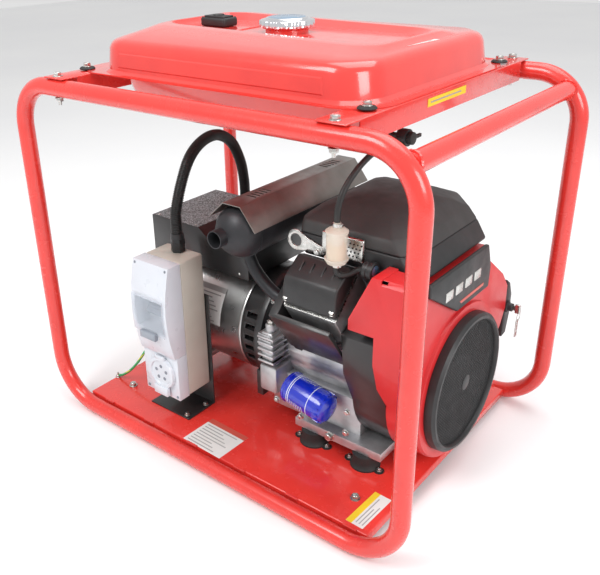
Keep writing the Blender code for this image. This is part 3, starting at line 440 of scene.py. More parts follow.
class Shape:
    """A mesh being worked, to which finished lumps are added one after another."""

    def __init__(self) -> None:
        """Starts with nothing."""
        self.bm = bmesh.new()

    def add(self, lump: bmesh.types.BMesh, place: Matrix | None = None, coat: int = 0) -> "Shape":
        """Adds a lump, closed and facing outwards.

        Args:
            lump: The lump, which is used up.
            place: Where it goes.
            coat: Which of the piece's finishes it has.

        Returns:
            This shape.
        """
        if place is not None:
            bmesh.ops.transform(lump, matrix=place, verts=lump.verts)
        bmesh.ops.remove_doubles(lump, verts=lump.verts, dist=1e-6)
        bmesh.ops.recalc_face_normals(lump, faces=lump.faces)
        for face in lump.faces:
            face.material_index = coat
        mesh = bpy.data.meshes.new("lump")
        lump.to_mesh(mesh)
        lump.free()
        self.bm.from_mesh(mesh)
        bpy.data.meshes.remove(mesh)
        return self

    def block(self, low: Point, high: Point, round_by: float = 0.0, steps: int = 2,
              coat: int = 0) -> "Shape":
        """Adds a box.

        Args:
            low: Its lowest corner.
            high: Its highest corner.
            round_by: Radius of its edges.
            steps: Steps in that radius.
            coat: Which of the piece's finishes it has.

        Returns:
            This shape.
        """
        lump = bmesh.new()
        bmesh.ops.create_cube(lump, size=1.0)
        low, high = Vector(low), Vector(high)
        bmesh.ops.scale(lump, vec=high - low, verts=lump.verts)
        bmesh.ops.translate(lump, vec=(low + high) / 2, verts=lump.verts)
        if round_by:
            soften(lump, lump.edges[:], round_by, steps)
        return self.add(lump, coat=coat)

    def drum(self, at: Point, axis: Point, length: float, radius: float, top: float | None = None,
             sides: int = 32,
             round_by: float = 0.0, coat: int = 0) -> "Shape":
        """Adds a cylinder or a cone.

        Args:
            at: The middle of its foot.
            axis: Where it runs.
            length: Its length.
            radius: Its radius at the foot.
            top: Its radius at the top, if that differs.
            sides: How many sides it has.
            round_by: Radius of its rims.
            coat: Which of the piece's finishes it has.

        Returns:
            This shape.
        """
        lump = bmesh.new()
        bmesh.ops.create_cone(lump, cap_ends=True, segments=sides, radius1=radius,
                              radius2=radius if top is None else top, depth=length)
        bmesh.ops.translate(lump, vec=(0, 0, length / 2), verts=lump.verts)
        if round_by:
            rims = [e for e in lump.edges if abs(e.verts[0].co.z - e.verts[1].co.z) < 1e-7]
            soften(lump, rims, round_by, 2)
        return self.add(lump, facing(at, axis), coat)

    def turned(self, profile: Sequence[tuple[float, float]], at: Point, axis: Point, steps: int = 48,
               coat: int = 0, closed: bool = False) -> "Shape":
        """Adds a turning.

        Args:
            profile: Radii and heights along the axis, from one end to the other.
            at: Where the axis starts.
            axis: Where it goes.
            steps: How many steps one turn has.
            coat: Which of the piece's finishes it has.
            closed: Whether the profile is a ring that comes back to its start.

        Returns:
            This shape.
        """
        lump = bmesh.new()
        verts = [lump.verts.new((r, 0, h)) for r, h in profile]
        pairs = list(zip(verts, verts[1:])) + ([(verts[-1], verts[0])] if closed else [])
        edges = [lump.edges.new(pair) for pair in pairs]
        bmesh.ops.spin(lump, geom=verts + edges, cent=(0, 0, 0), axis=(0, 0, 1), angle=math.tau,
                       steps=steps,
                       use_merge=True)
        bmesh.ops.remove_doubles(lump, verts=lump.verts, dist=1e-6)
        loose = [e for e in lump.edges if not e.link_faces]
        bmesh.ops.delete(lump, geom=loose, context="EDGES")
        return self.add(lump, facing(at, axis), coat)

    def plate(self, outline: Sequence[tuple[float, float]], place: Matrix, thick: float,
              corners: float = 0.0,
              round_by: float = 0.0, steps: int = 2, coat: int = 0) -> "Shape":
        """Adds a flat outline, raised along its own Z.

        Args:
            outline: Its corners.
            place: Where its own X, Y and Z lie.
            thick: How far it is raised.
            corners: Radius of its corners.
            round_by: Radius of its upper edge.
            steps: Steps in that radius.
            coat: Which of the piece's finishes it has.

        Returns:
            This shape.
        """
        lump = bmesh.new()
        face = lump.faces.new([lump.verts.new((x, y, 0)) for x, y in outline])
        if corners:
            bmesh.ops.bevel(lump, geom=face.verts[:], offset=corners, offset_type="OFFSET", segments=5,
                            profile=0.5,
                            affect="VERTICES", clamp_overlap=True, material=-1)
        lump.faces.ensure_lookup_table()
        raised = bmesh.ops.extrude_face_region(lump, geom=lump.faces[:])
        verts = [v for v in raised["geom"] if isinstance(v, bmesh.types.BMVert)]
        bmesh.ops.translate(lump, vec=(0, 0, thick), verts=verts)
        if round_by:
            rim = {e for v in verts for e in v.link_edges if e.other_vert(v) in verts}
            soften(lump, list(rim), round_by, steps)
        return self.add(lump, place, coat)

    def pipe(self, route: Sequence[Point], radius: float, closed: bool = False, fullness: int = 4,
             swell: Callable[[int], float] | None = None, coat: int = 0) -> "Shape":
        """Adds a round tube along a route.

        Args:
            route: The points of its centreline.
            radius: Its radius.
            closed: Whether it comes back to its start.
            fullness: Quarter of its sides.
            swell: Gives the share of the radius at each point.
            coat: Which of the piece's finishes it has.

        Returns:
            This shape.
        """
        curve = bpy.data.curves.new("route", "CURVE")
        curve.dimensions = "3D"
        curve.twist_mode = "MINIMUM"
        curve.bevel_depth = radius
        curve.bevel_resolution = fullness
        curve.use_fill_caps = True
        spline = curve.splines.new("POLY")
        spline.points.add(len(route) - 1)
        for k, (point, at) in enumerate(zip(spline.points, route)):
            point.co = (*at, 1.0)
            point.radius = swell(k) if swell else 1.0
        spline.use_cyclic_u = closed
        holder = bpy.data.objects.new("route", curve)
        mesh = bpy.data.meshes.new_from_object(holder)
        lump = bmesh.new()
        lump.from_mesh(mesh)
        for thing, store in ((holder, bpy.data.objects), (mesh, bpy.data.meshes), (curve, bpy.data.curves)):
            store.remove(thing)
        return self.add(lump, coat=coat)

    def node(self, name: str, round_by: float = 0.0006, sharp: float = 32.0, coat: int = 0,
             wide: Callable[[bmesh.types.BMEdge], float] | None = None) -> "Shape":
        """Adds a merged copy of a CAD node, with its sharp edges rounded.

        Args:
            name: The CAD node.
            round_by: Radius of its edges.
            sharp: Degrees from which an edge is rounded.
            coat: Which of the piece's finishes it has.
            wide: Gives an edge's own radius, or 0 to keep to round_by.

        Returns:
            This shape.
        """
        lump = bmesh.new()
        lump.from_mesh(frame["nodes"][name].data)
        bmesh.ops.remove_doubles(lump, verts=lump.verts, dist=1e-5)
        bmesh.ops.dissolve_limit(lump, angle_limit=math.radians(1.5), verts=lump.verts, edges=lump.edges)
        if wide:
            sizes = {round(wide(e), 6) for e in lump.edges}
            for size in sorted(sizes - {0.0}):
                soften(lump, [e for e in lump.edges if round(wide(e), 6) == size], size, 4)
        crisp = [e for e in lump.edges
                 if len(e.link_faces) == 2 and e.calc_face_angle(0) > math.radians(sharp)]
        if round_by:
            soften(lump, crisp, round_by, 2)
        return self.add(lump, coat=coat)

    def bolts(self, places: Iterable[Point], axis: Point, size: float, washer: bool = True, coat: int = 0,
              stud: float = 0.0) -> "Shape":
        """Adds hexagon bolts, all looking one way.

        Args:
            places: Where their washers sit.
            axis: Where their heads point.
            size: Across corners of the head.
            washer: Whether each has a washer.
            coat: Which of the piece's finishes they have.
            stud: How far a stud stands out of a nut, or 0 for a plain head.

        Returns:
            This shape.
        """
        look = Vector(axis).normalized()
        for at in places:
            base = Vector(at)
            if washer:
                self.drum(base, look, size * 0.12, size * 0.62, sides=24, round_by=size * 0.03, coat=coat)
                base = base + look * size * 0.12
            self.drum(base, look, size * 0.40, size * 0.5, sides=6, round_by=size * 0.05, coat=coat)
            self.drum(base + look * size * 0.38, look, size * 0.06, size * 0.36, size * 0.30, sides=20,
                      coat=coat)
            if stud:
                self.drum(base + look * size * 0.40, look, stud, size * 0.24, size * 0.20, sides=12,
                          coat=coat)
        return self

    def screws(self, places: Iterable[Point], axis: Point, radius: float, coat: int = 0) -> "Shape":
        """Adds round-headed cross-slot screws.

        Args:
            places: Where their heads sit.
            axis: Where their heads point.
            radius: Radius of each head.
            coat: Which of the piece's finishes they have.

        Returns:
            This shape.
        """
        for at in places:
            spot = facing(at, axis)
            self.turned([(0, radius * 0.62), (radius * 0.5, radius * 0.52), (radius * 0.9, radius * 0.22),
                         (radius, 0.0), (0, 0)], at, axis, 20, coat)
            for turn in (0, 90):
                bar = facing(spot @ Vector((0, 0, radius * 0.56)), axis, 45 + turn)
                half, thin = radius * 0.5, radius * 0.09
                self.plate([(-half, -thin), (half, -thin), (half, thin), (-half, thin)], bar, radius * 0.09,
                           coat=coat)
        return self

    def label(self, place: Matrix, width: float, height: float, bars: int, header: float = 0.0,
              coat: int = 0,
              bend: Callable[[Vector], Vector] | None = None) -> "Shape":
        """Adds a blank label: a sheet, a header stripe and plain bars, on three finishes in turn.

        Args:
            place: Its middle, with its own X along the bars.
            width: Its width.
            height: Its height.
            bars: How many plain bars it has.
            header: The header's share of the height.
            coat: The sheet's finish; the header and the bars have the next two.
            bend: Bends its points to the surface that it is on.

        Returns:
            This shape.
        """
        def patch(x0: float, x1: float, y0: float, y1: float, lift: float, finish: int) -> None:
            """Adds one thin rectangle of the label.

            Args:
                x0: Its left edge.
                x1: Its right edge.
                y0: Its lower edge.
                y1: Its upper edge.
                lift: Its height over the surface.
                finish: Which of the piece's finishes it has.
            """
            lump = bmesh.new()
            bmesh.ops.create_grid(lump, x_segments=12 if bend else 1, y_segments=12 if bend else 1,
                                  size=0.5)
            bmesh.ops.scale(lump, vec=(x1 - x0, y1 - y0, 1.0), verts=lump.verts)
            bmesh.ops.translate(lump, vec=((x0 + x1) / 2, (y0 + y1) / 2, lift), verts=lump.verts)
            bmesh.ops.solidify(lump, geom=lump.faces[:], thickness=0.00012)
            if bend:
                for vert in lump.verts:
                    vert.co = bend(vert.co)
            self.add(lump, place, finish)

        patch(-width / 2, width / 2, -height / 2, height / 2, 0.0002, coat)
        top = height / 2 - height * header
        if header:
            patch(-width / 2, width / 2, top, height / 2, 0.0004, coat + 1)
        pitch = (top + height / 2) / (bars + 0.6)
        for k in range(bars):
            y = top - pitch * (k + 0.8)
            reach = width * (0.40 - 0.05 * ((k * 7) % 4))
            patch(-width * 0.43, -width * 0.43 + 2 * reach, y - pitch * 0.16, y + pitch * 0.16, 0.0004,
                  coat + 2)
        return self

    def piece(self, name: str, *finishes: Finish, stands_for: Sequence[str] = (), body: str = MAIN,
              smooth: float = 38.0) -> bpy.types.Object:
        """Makes the shape an object that rides on its body.

        Args:
            name: The piece's name.
            *finishes: Its finishes, in the order that the lumps number them.
            stands_for: The CAD nodes that it takes the place of.
            body: The body that it moves with.
            smooth: Degrees under which neighbouring faces shade as one.

        Returns:
            The object.
        """
        mesh = bpy.data.meshes.new(name)
        self.bm.to_mesh(mesh)
        self.bm.free()
        mesh.shade_smooth()
        mesh.set_sharp_from_angle(angle=math.radians(smooth))
        for finish in finishes:
            mesh.materials.append(finish.material())
        obj = bpy.data.objects.new(name, mesh)
        bpy.context.scene.collection.objects.link(obj)
        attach(obj, body)
        if stands_for:
            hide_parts(*stands_for)
        log.info("%s: %d faces on %s", name, len(mesh.polygons), body)
        return obj


def soften(lump: bmesh.types.BMesh, edges: list[bmesh.types.BMEdge], radius: float, steps: int) -> None:
    """Rounds edges of a lump.

    Args:
        lump: The lump.
        edges: Its edges to round.
        radius: Their radius.
        steps: Steps in that radius.
    """
    if edges:
        bmesh.ops.bevel(lump, geom=edges, offset=radius, offset_type="OFFSET", segments=steps, profile=0.5,
                        affect="EDGES", clamp_overlap=True, material=-1)


def copy_node(node: str, name: str, finish: Finish, round_by: float, sharp: float = 32.0, body: str = MAIN,
              smooth: float = 38.0) -> None:
    """Puts a merged copy of a CAD node, its edges rounded, in the node's place.

    Args:
        node: The CAD node.
        name: The new piece's name.
        finish: Its finish.
        round_by: Radius of its edges.
        sharp: Degrees from which an edge is rounded.
        body: The body that it moves with.
        smooth: Degrees under which neighbouring faces shade as one.
    """
    Shape().node(node, round_by, sharp).piece(name, finish, stands_for=(node,), body=body, smooth=smooth)


def dress(node: str, finish: Finish) -> None:
    """Gives a CAD node that keeps its own shape a finish.

    Args:
        node: The CAD node.
        finish: Its finish.
    """
    obj = frame["nodes"][node]
    for slot in obj.material_slots:
        slot.material = finish.material()
    log.info("%s: CAD shape, %s", node, finish.name)


# ---------------------------------------------------------------- cradle
@dataclass
class Cradle:
    """The two tube loops, the tube between them, the tray and the tank's rails."""

    tube: float = 0.0169
    loop_x: float = 0.440
    loop_y: float = 0.302
    low_z: float = 0.0169
    high_z: float = 0.7289
    top_bend: float = 0.087
    low_bend: float = 0.103
    tray_top: float = 0.0325
    rails: tuple[float, float] = (-0.315, 0.300)
    rail_top: float = 0.7497

    def loop_route(self, y: float) -> list[Vector]:
        """Gives a loop's centreline.

        Args:
            y: The plane that it lies in.

        Returns:
            Its points.
        """
        route = []
        for sx, sz, bend in ((1, 1, self.top_bend), (-1, 1, self.top_bend), (-1, -1, self.low_bend),
                             (1, -1, self.low_bend)):
            z = self.high_z if sz > 0 else self.low_z
            centre = Vector((sx * (self.loop_x - bend), y, z - sz * bend))
            start = {(1, 1): 0, (-1, 1): 90, (-1, -1): 180, (1, -1): 270}[(sx, sz)]
            for k in range(17):
                a = math.radians(start + 90 * k / 16)
                route.append(centre + Vector((bend * math.cos(a), 0, bend * math.sin(a))))
        return route

    def build_tubes(self) -> None:
        """Bends the loops and welds the tube between them on."""
        for name, y in (("near", -self.loop_y), ("far", self.loop_y)):
            Shape().pipe(self.loop_route(y), self.tube, closed=True, fullness=6).piece(
                "cradle_loop_" + name, RED_COAT, stands_for=("frame_loop_" + name,))
        low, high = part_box("cross_tube")
        x, z = (low.x + high.x) / 2, (low.z + high.z) / 2
        tie = Shape().pipe([(x, low.y + 0.001, z), (x, high.y - 0.001, z)], (high.x - low.x) / 2 - 0.0004,
                           fullness=6)
        for side in (-1, 1):
            y = side * (self.loop_y - self.tube * 0.80)
            ring = [Vector((x + 0.0172 * math.cos(a), y + side * 0.0035 * math.cos(2 * a),
                            z + 0.0172 * math.sin(a)))
                    for a in (math.tau * k / 60 for k in range(60))]
            tie.pipe(ring, 0.0030, closed=True, fullness=1, swell=lambda k: 1.0 + 0.18 * math.sin(k * 1.9))
        tie.piece("cradle_tie_tube", RED_COAT, stands_for=("cross_tube",))

    def build_tray(self) -> None:
        """Folds the tray and fits its bolts, its earth stud and its blank labels."""
        copy_node("base_tray", "folded_tray", RED_COAT, 0.0022, 40)
        top = self.tray_top
        beads = Shape()
        for side in (-1, 1):
            for k in range(6):
                x = -0.32 + 0.128 * k
                route = [(x + 0.004 * j, side * 0.2848, top - 0.0005) for j in range(8)]
                beads.pipe(route, 0.0022, fullness=1, swell=lambda k: 1.0 + 0.2 * (k % 2))
        beads.piece("tray_weld_beads", RED_COAT)
        bolts = Shape().bolts([(0.302, -0.218, top + 0.0002), (-0.309, -0.212, top + 0.0002),
                               (0.302, 0.218, top + 0.0002), (-0.309, 0.212, top + 0.0002)], UP, 0.0150)
        bolts.bolts([(-0.366, -0.208, top + 0.0002)], UP, 0.0110, stud=0.006)
        bolts.piece("tray_bolts", ZINC)
        Shape().label(facing((-0.024, -0.241, top), UP, -2), 0.104, 0.087, 8, 0.16).piece(
            "tray_blank_label", LABEL, LABEL_RED, LABEL_GREY)
        Shape().label(facing((0.338, -0.228, top), UP, 88), 0.094, 0.036, 3, 0.34).piece(
            "tray_blank_notice", LABEL, LABEL_YELLOW, LABEL_GREY)

    def build_rails(self) -> None:
        """Folds the tank's rails and bolts them through the tubes."""
        for node, name in (("tank_rail_left", "tank_rail_drive_end"),
                           ("tank_rail_right", "tank_rail_fan_end")):
            Shape().node(node, 0.0016, 40).piece(name, RED_COAT, stands_for=(node,))
        bolts = Shape()
        for x in (0.300, -0.316):
            for side in (-1, 1):
                bolts.bolts([(x, side * 0.3000, self.rail_top - 0.0002)], UP, 0.0150)
                bolts.bolts([(x, side * 0.3020, self.high_z - self.tube - 0.0001)], DOWN, 0.0140,
                            stud=0.007)
        bolts.piece("tank_rail_bolts", ZINC)
        Shape().label(facing((0.3272, -0.020, 0.7365), FAN_END), 0.132, 0.0130, 1).piece(
            "rail_blank_notice", LABEL_YELLOW, LABEL_YELLOW, LABEL_GREY)

    def build(self) -> None:
        """Builds the whole cradle."""
        self.build_tubes()
        self.build_tray()
        self.build_rails()


# ---------------------------------------------------------------- tank and fuel line
@dataclass
class Tank:
    """The pressed tank, its cap, gauge and labels, and the fuel line under it."""

    seam: float = 0.7500
    cap: tuple[float, float] = (-0.013, 0.0)
    corner: float = 0.050

    def shell(self) -> bmesh.types.BMesh:
        """Draws the shell ring by ring from its lower pan to the recess in its roof.

        Returns:
            The shell.
        """
        rings = [((-0.235, 0.235), 0.160, 0.684), ((-0.246, 0.246), 0.176, 0.690),
                 ((-0.262, 0.262), 0.195, 0.708),
                 ((-0.270, 0.270), 0.208, 0.7499), ((-0.345, 0.325), 0.247, 0.7501),
                 ((-0.345, 0.325), 0.247, 0.7522),
                 ((-0.298, 0.306), 0.238, 0.7524), ((-0.292, 0.300), 0.232, 0.7580),
                 ((-0.2885, 0.2945), 0.2285, 0.795),
                 ((-0.2855, 0.2915), 0.226, 0.8025), ((-0.280, 0.286), 0.221, 0.8080),
                 ((-0.270, 0.277), 0.211, 0.8118),
                 ((-0.250, 0.262), 0.175, 0.8205), ((-0.243, 0.252), 0.130, 0.8275),
                 ((-0.238, 0.245), 0.105, 0.8292),
                 ((-0.235, 0.242), 0.101, 0.8285), ((-0.226, 0.234), 0.086, 0.8160),
                 ((-0.222, 0.230), 0.080, 0.8142)]
        lump = bmesh.new()
        (x0, x1), y, z = rings[0]
        face = lump.faces.new([lump.verts.new(p) for p in ((x0, -y, z), (x1, -y, z), (x1, y, z),
                                                           (x0, y, z))])
        bmesh.ops.bevel(lump, geom=face.verts[:], offset=self.corner, offset_type="OFFSET", segments=8,
                        profile=0.5,
                        affect="VERTICES", clamp_overlap=True, material=-1)
        lump.faces.ensure_lookup_table()
        edges = lump.faces[0].edges[:]
        for (old_x, old_y, _), (new_x, new_y, new_z) in zip(rings, rings[1:]):
            made = bmesh.ops.extrude_edge_only(lump, edges=edges)["geom"]
            verts = [v for v in made if isinstance(v, bmesh.types.BMVert)]
            edges = [g for g in made if isinstance(g, bmesh.types.BMEdge)]
            middle = Vector(((old_x[0] + old_x[1]) / 2, 0, 0))
            bmesh.ops.translate(lump, vec=-middle, verts=verts)
            stretch = (new_x[1] - new_x[0]) / (old_x[1] - old_x[0])
            bmesh.ops.scale(lump, vec=(stretch, new_y / old_y, 1.0), verts=verts)
            bmesh.ops.translate(lump, vec=((new_x[0] + new_x[1]) / 2, 0, 0), verts=verts)
            for vert in verts:
                fall = ROOF_FALL * (vert.co.x + 0.238) if new_z > ROOF_START else 0.0
                vert.co.z = new_z - fall * min(1.0, (new_z - ROOF_START) / 0.008)
        roof = bmesh.ops.contextual_create(lump, geom=edges)["faces"]
        bmesh.ops.inset_region(lump, faces=roof, thickness=0.020, depth=0.0)
        return lump

    def press_panels(self, lump: bmesh.types.BMesh) -> None:
        """Raises the long panels in the shell's sides.

        Args:
            lump: The shell.
        """
        bmesh.ops.recalc_face_normals(lump, faces=lump.faces)
        sides = [f for f in lump.faces
                 if f.calc_area() > 0.010 and abs(f.normal.y) > 0.9 and 0.77 < f.calc_center_median().z < 0.785]
        for face in sides:
            bmesh.ops.inset_region(lump, faces=[face], thickness=0.0075, depth=0.0)
            bmesh.ops.inset_region(lump, faces=[face], thickness=0.0030, depth=0.0022)

    def build_shell(self) -> None:
        """Builds the tank with its pressed panels, ribs, neck, bolts and labels."""
        lump = self.shell()
        self.press_panels(lump)
        shape = Shape().add(lump)
        for x in (-0.105, 0.085, 0.150):
            z = 0.8138 - ROOF_FALL * (x + 0.238) + 0.0010
            shape.pipe([(x, -0.068, z - 0.001), (x, -0.062, z), (x, 0.062, z), (x, 0.068, z - 0.001)],
                       0.0032, fullness=3)
        shape.turned([(0.040, -0.012), (0.040, 0.006), (0.046, 0.0085), (0.046, 0.010), (0.034, 0.010),
                      (0.034, -0.012)],
                     (*self.cap, 0.8130), UP, 48, closed=True)
        shape.piece("petrol_tank", TANK_RED, stands_for=("fuel_tank",), smooth=30)
        corners = [(0.305, s * 0.227, 0.7523) for s in (-1, 1)] + [(-0.320, s * 0.227, 0.7523) for s in (-1,
                1)]
        pads = Shape()
        for at in corners:
            pads.turned([(0.0, 0.0), (0.0145, 0.0), (0.0150, 0.0015), (0.0125, 0.0040), (0.0, 0.0045)], at,
                        UP, 28)
        pads.piece("tank_bolt_pads", RUBBER)
        Shape().bolts([(x, y, z + 0.0042) for x, y, z in corners], UP, 0.0140).piece("tank_bolts", ZINC)
        Shape().label(facing((0.243, 0.000, 0.8118), (-0.02, 0, 1), 84), 0.105, 0.046, 5, 0.0).piece(
            "tank_top_blank_label", LABEL, LABEL_RED, LABEL_GREY)
        Shape().label(facing((0.2978, -0.024, 0.7690), (0.99, 0, 0.14)), 0.132, 0.0145, 1).piece(
            "tank_end_blank_label", LABEL, LABEL_RED, LABEL_GREY)

    def build_cap(self) -> None:
        """Turns the filler cap, scallops its rim, and sets the gauge in the roof."""
        x, y = self.cap
        rim = [((0.0515 if k % 4 < 2 else 0.0490) * math.cos(math.tau * k / 96),
                (0.0515 if k % 4 < 2 else 0.0490) * math.sin(math.tau * k / 96)) for k in range(96)]
        cap = Shape().plate(rim, facing((x, y, 0.8240), UP), 0.0110, round_by=0.0012)
        cap.turned([(0.0, 0.0160), (0.036, 0.0160), (0.0385, 0.0150), (0.0400, 0.0130), (0.0450, 0.0125),
                    (0.0480, 0.0105),
                    (0.0480, 0.0040), (0.0, 0.0040)], (x, y, 0.8240), UP, 64)
        cap.turned([(0.0, 0.01645), (0.034, 0.01645), (0.0352, 0.0160), (0.0, 0.0150)], (x, y, 0.8240), UP,
                   64, coat=1)
        for k in range(3):
            turn = math.radians(120 * k + 20)
            at = (x + 0.022 * math.cos(turn), y + 0.022 * math.sin(turn), 0.8404)
            cap.plate([(-0.008, -0.0012), (0.008, -0.0012), (0.008, 0.0012), (-0.008, 0.0012)],
                      facing(at, UP, math.degrees(turn) + 90), 0.0001, coat=0)
        cap.piece("filler_cap", CHROME, CAP_BLUE, stands_for=("fuel_cap",), body="cap")
        gauge = Shape().block((-0.214, -0.020, 0.8145), (-0.150, 0.020, 0.8310), 0.0040, 3)
        gauge.block((-0.208, -0.015, 0.8300), (-0.156, 0.015, 0.8345), 0.0020, 3)
        gauge.turned([(0.0, 0.0045), (0.011, 0.0040), (0.0125, 0.0), (0.0, 0.0)], (-0.182, 0, 0.8325), UP,
                     32)
        gauge.screws([(-0.210, s * 0.016, 0.8308) for s in (-1, 1)] + [(-0.154, s * 0.016,
                0.8308) for s in (-1, 1)],
                     UP, 0.0022)
        gauge.piece("tank_gauge", BLACK_PLASTIC, stands_for=("fuel_gauge",))

    def build_fuel_line(self) -> None:
        """Builds the tap, hoses, clamps, filter and pump."""
        body = Shape().node("fuel_tap_body", 0.0006)
        body.screws([(0.2630 - 0.0016, -0.0200, 0.6710), (0.2630 - 0.0016, -0.0200, 0.6450)], FAN_END,
                    0.0018, 0)
        body.piece("fuel_tap", BLACK_PLASTIC, stands_for=("fuel_tap_body",))
        copy_node("fuel_tap_lever", "fuel_tap_handle", RUBBER, 0.0008, body="tap")
        upper = smooth_path([(0.250, -0.0503, 0.658), (0.250, -0.080, 0.657), (0.248, -0.115, 0.650),
                             (0.243, -0.150, 0.632),
                             (0.237, -0.178, 0.604), (0.234, -0.190, 0.575), (0.234, -0.192, 0.5523)],
                             0.004)
        Shape().pipe(upper, 0.0054, fullness=4).piece("upper_fuel_hose", HOSE, stands_for=("fuel_hose",))
        lower = smooth_path([(0.234, -0.192, 0.4700), (0.2345, -0.1918, 0.4640), (0.2370, -0.1900, 0.4590),
                             (0.242, -0.187, 0.4570), (0.252, -0.178, 0.4590), (0.262, -0.169, 0.4650),
                             (0.268, -0.167, 0.468),
                             (0.274, -0.167, 0.468)], 0.002)
        Shape().pipe(lower, 0.0049, fullness=4).piece("lower_fuel_hose", HOSE, stands_for=("pump_hose",))
        at = (0.234, -0.192, 0.472)
        filt = Shape().turned([(0.0, 0.0), (0.006, 0.0), (0.006, 0.006), (0.0165, 0.008), (0.0185, 0.012),
                               (0.0185, 0.014),
                               (0.0205, 0.0145), (0.0205, 0.0175), (0.0178, 0.0180), (0.0178, 0.062),
                               (0.0195, 0.0625),
                               (0.0195, 0.0655), (0.0150, 0.069), (0.006, 0.072), (0.006, 0.080),
                               (0.0, 0.080)], at, UP, 40)
        filt.turned([(0.0, 0.0165), (0.0150, 0.0165), (0.0158, 0.018), (0.0158, 0.040), (0.0, 0.040)], at,
                    UP, 32, coat=1)
        filt.turned([(0.0, 0.041), (0.0095, 0.041), (0.0095, 0.060), (0.0, 0.060)], at, UP, 24, coat=2)
        filt.piece("petrol_filter", MILKY, AMBER, LABEL, stands_for=("fuel_filter",))
        clamps = Shape()
        for z in (0.4735, 0.5445):
            clamps.turned([(0.0062, 0.0), (0.0072, 0.0), (0.0072, 0.006), (0.0062, 0.006)],
                          (0.234, -0.192, z), UP, 24, closed=True)
            clamps.block((0.2395, -0.1945, z), (0.2445, -0.1895, z + 0.006), 0.0008)
        clamps.piece("hose_clamps", ZINC)
        pump = Shape().turned([(0.0, 0.0), (0.0135, 0.0), (0.0155, 0.002), (0.0155, 0.008), (0.0145, 0.009),
                               (0.0145, 0.0115),
                               (0.0155, 0.0125), (0.0155, 0.0185), (0.0140, 0.0198), (0.0, 0.0198)],
                              (0.2745, -0.167, 0.470), FAN_END, 40)
        pump.turned([(0.0, 0.0202), (0.0095, 0.0202), (0.0105, 0.0196), (0.0, 0.0190)],
                    (0.2745, -0.167, 0.470), FAN_END, 36, coat=1)
        pump.piece("fuel_lift_pump", BLACK_PLASTIC, CAP_BLUE, stands_for=("fuel_pump",))

    def build(self) -> None:
        """Builds the tank and the fuel line."""
        self.build_shell()
        self.build_cap()
        self.build_fuel_line()


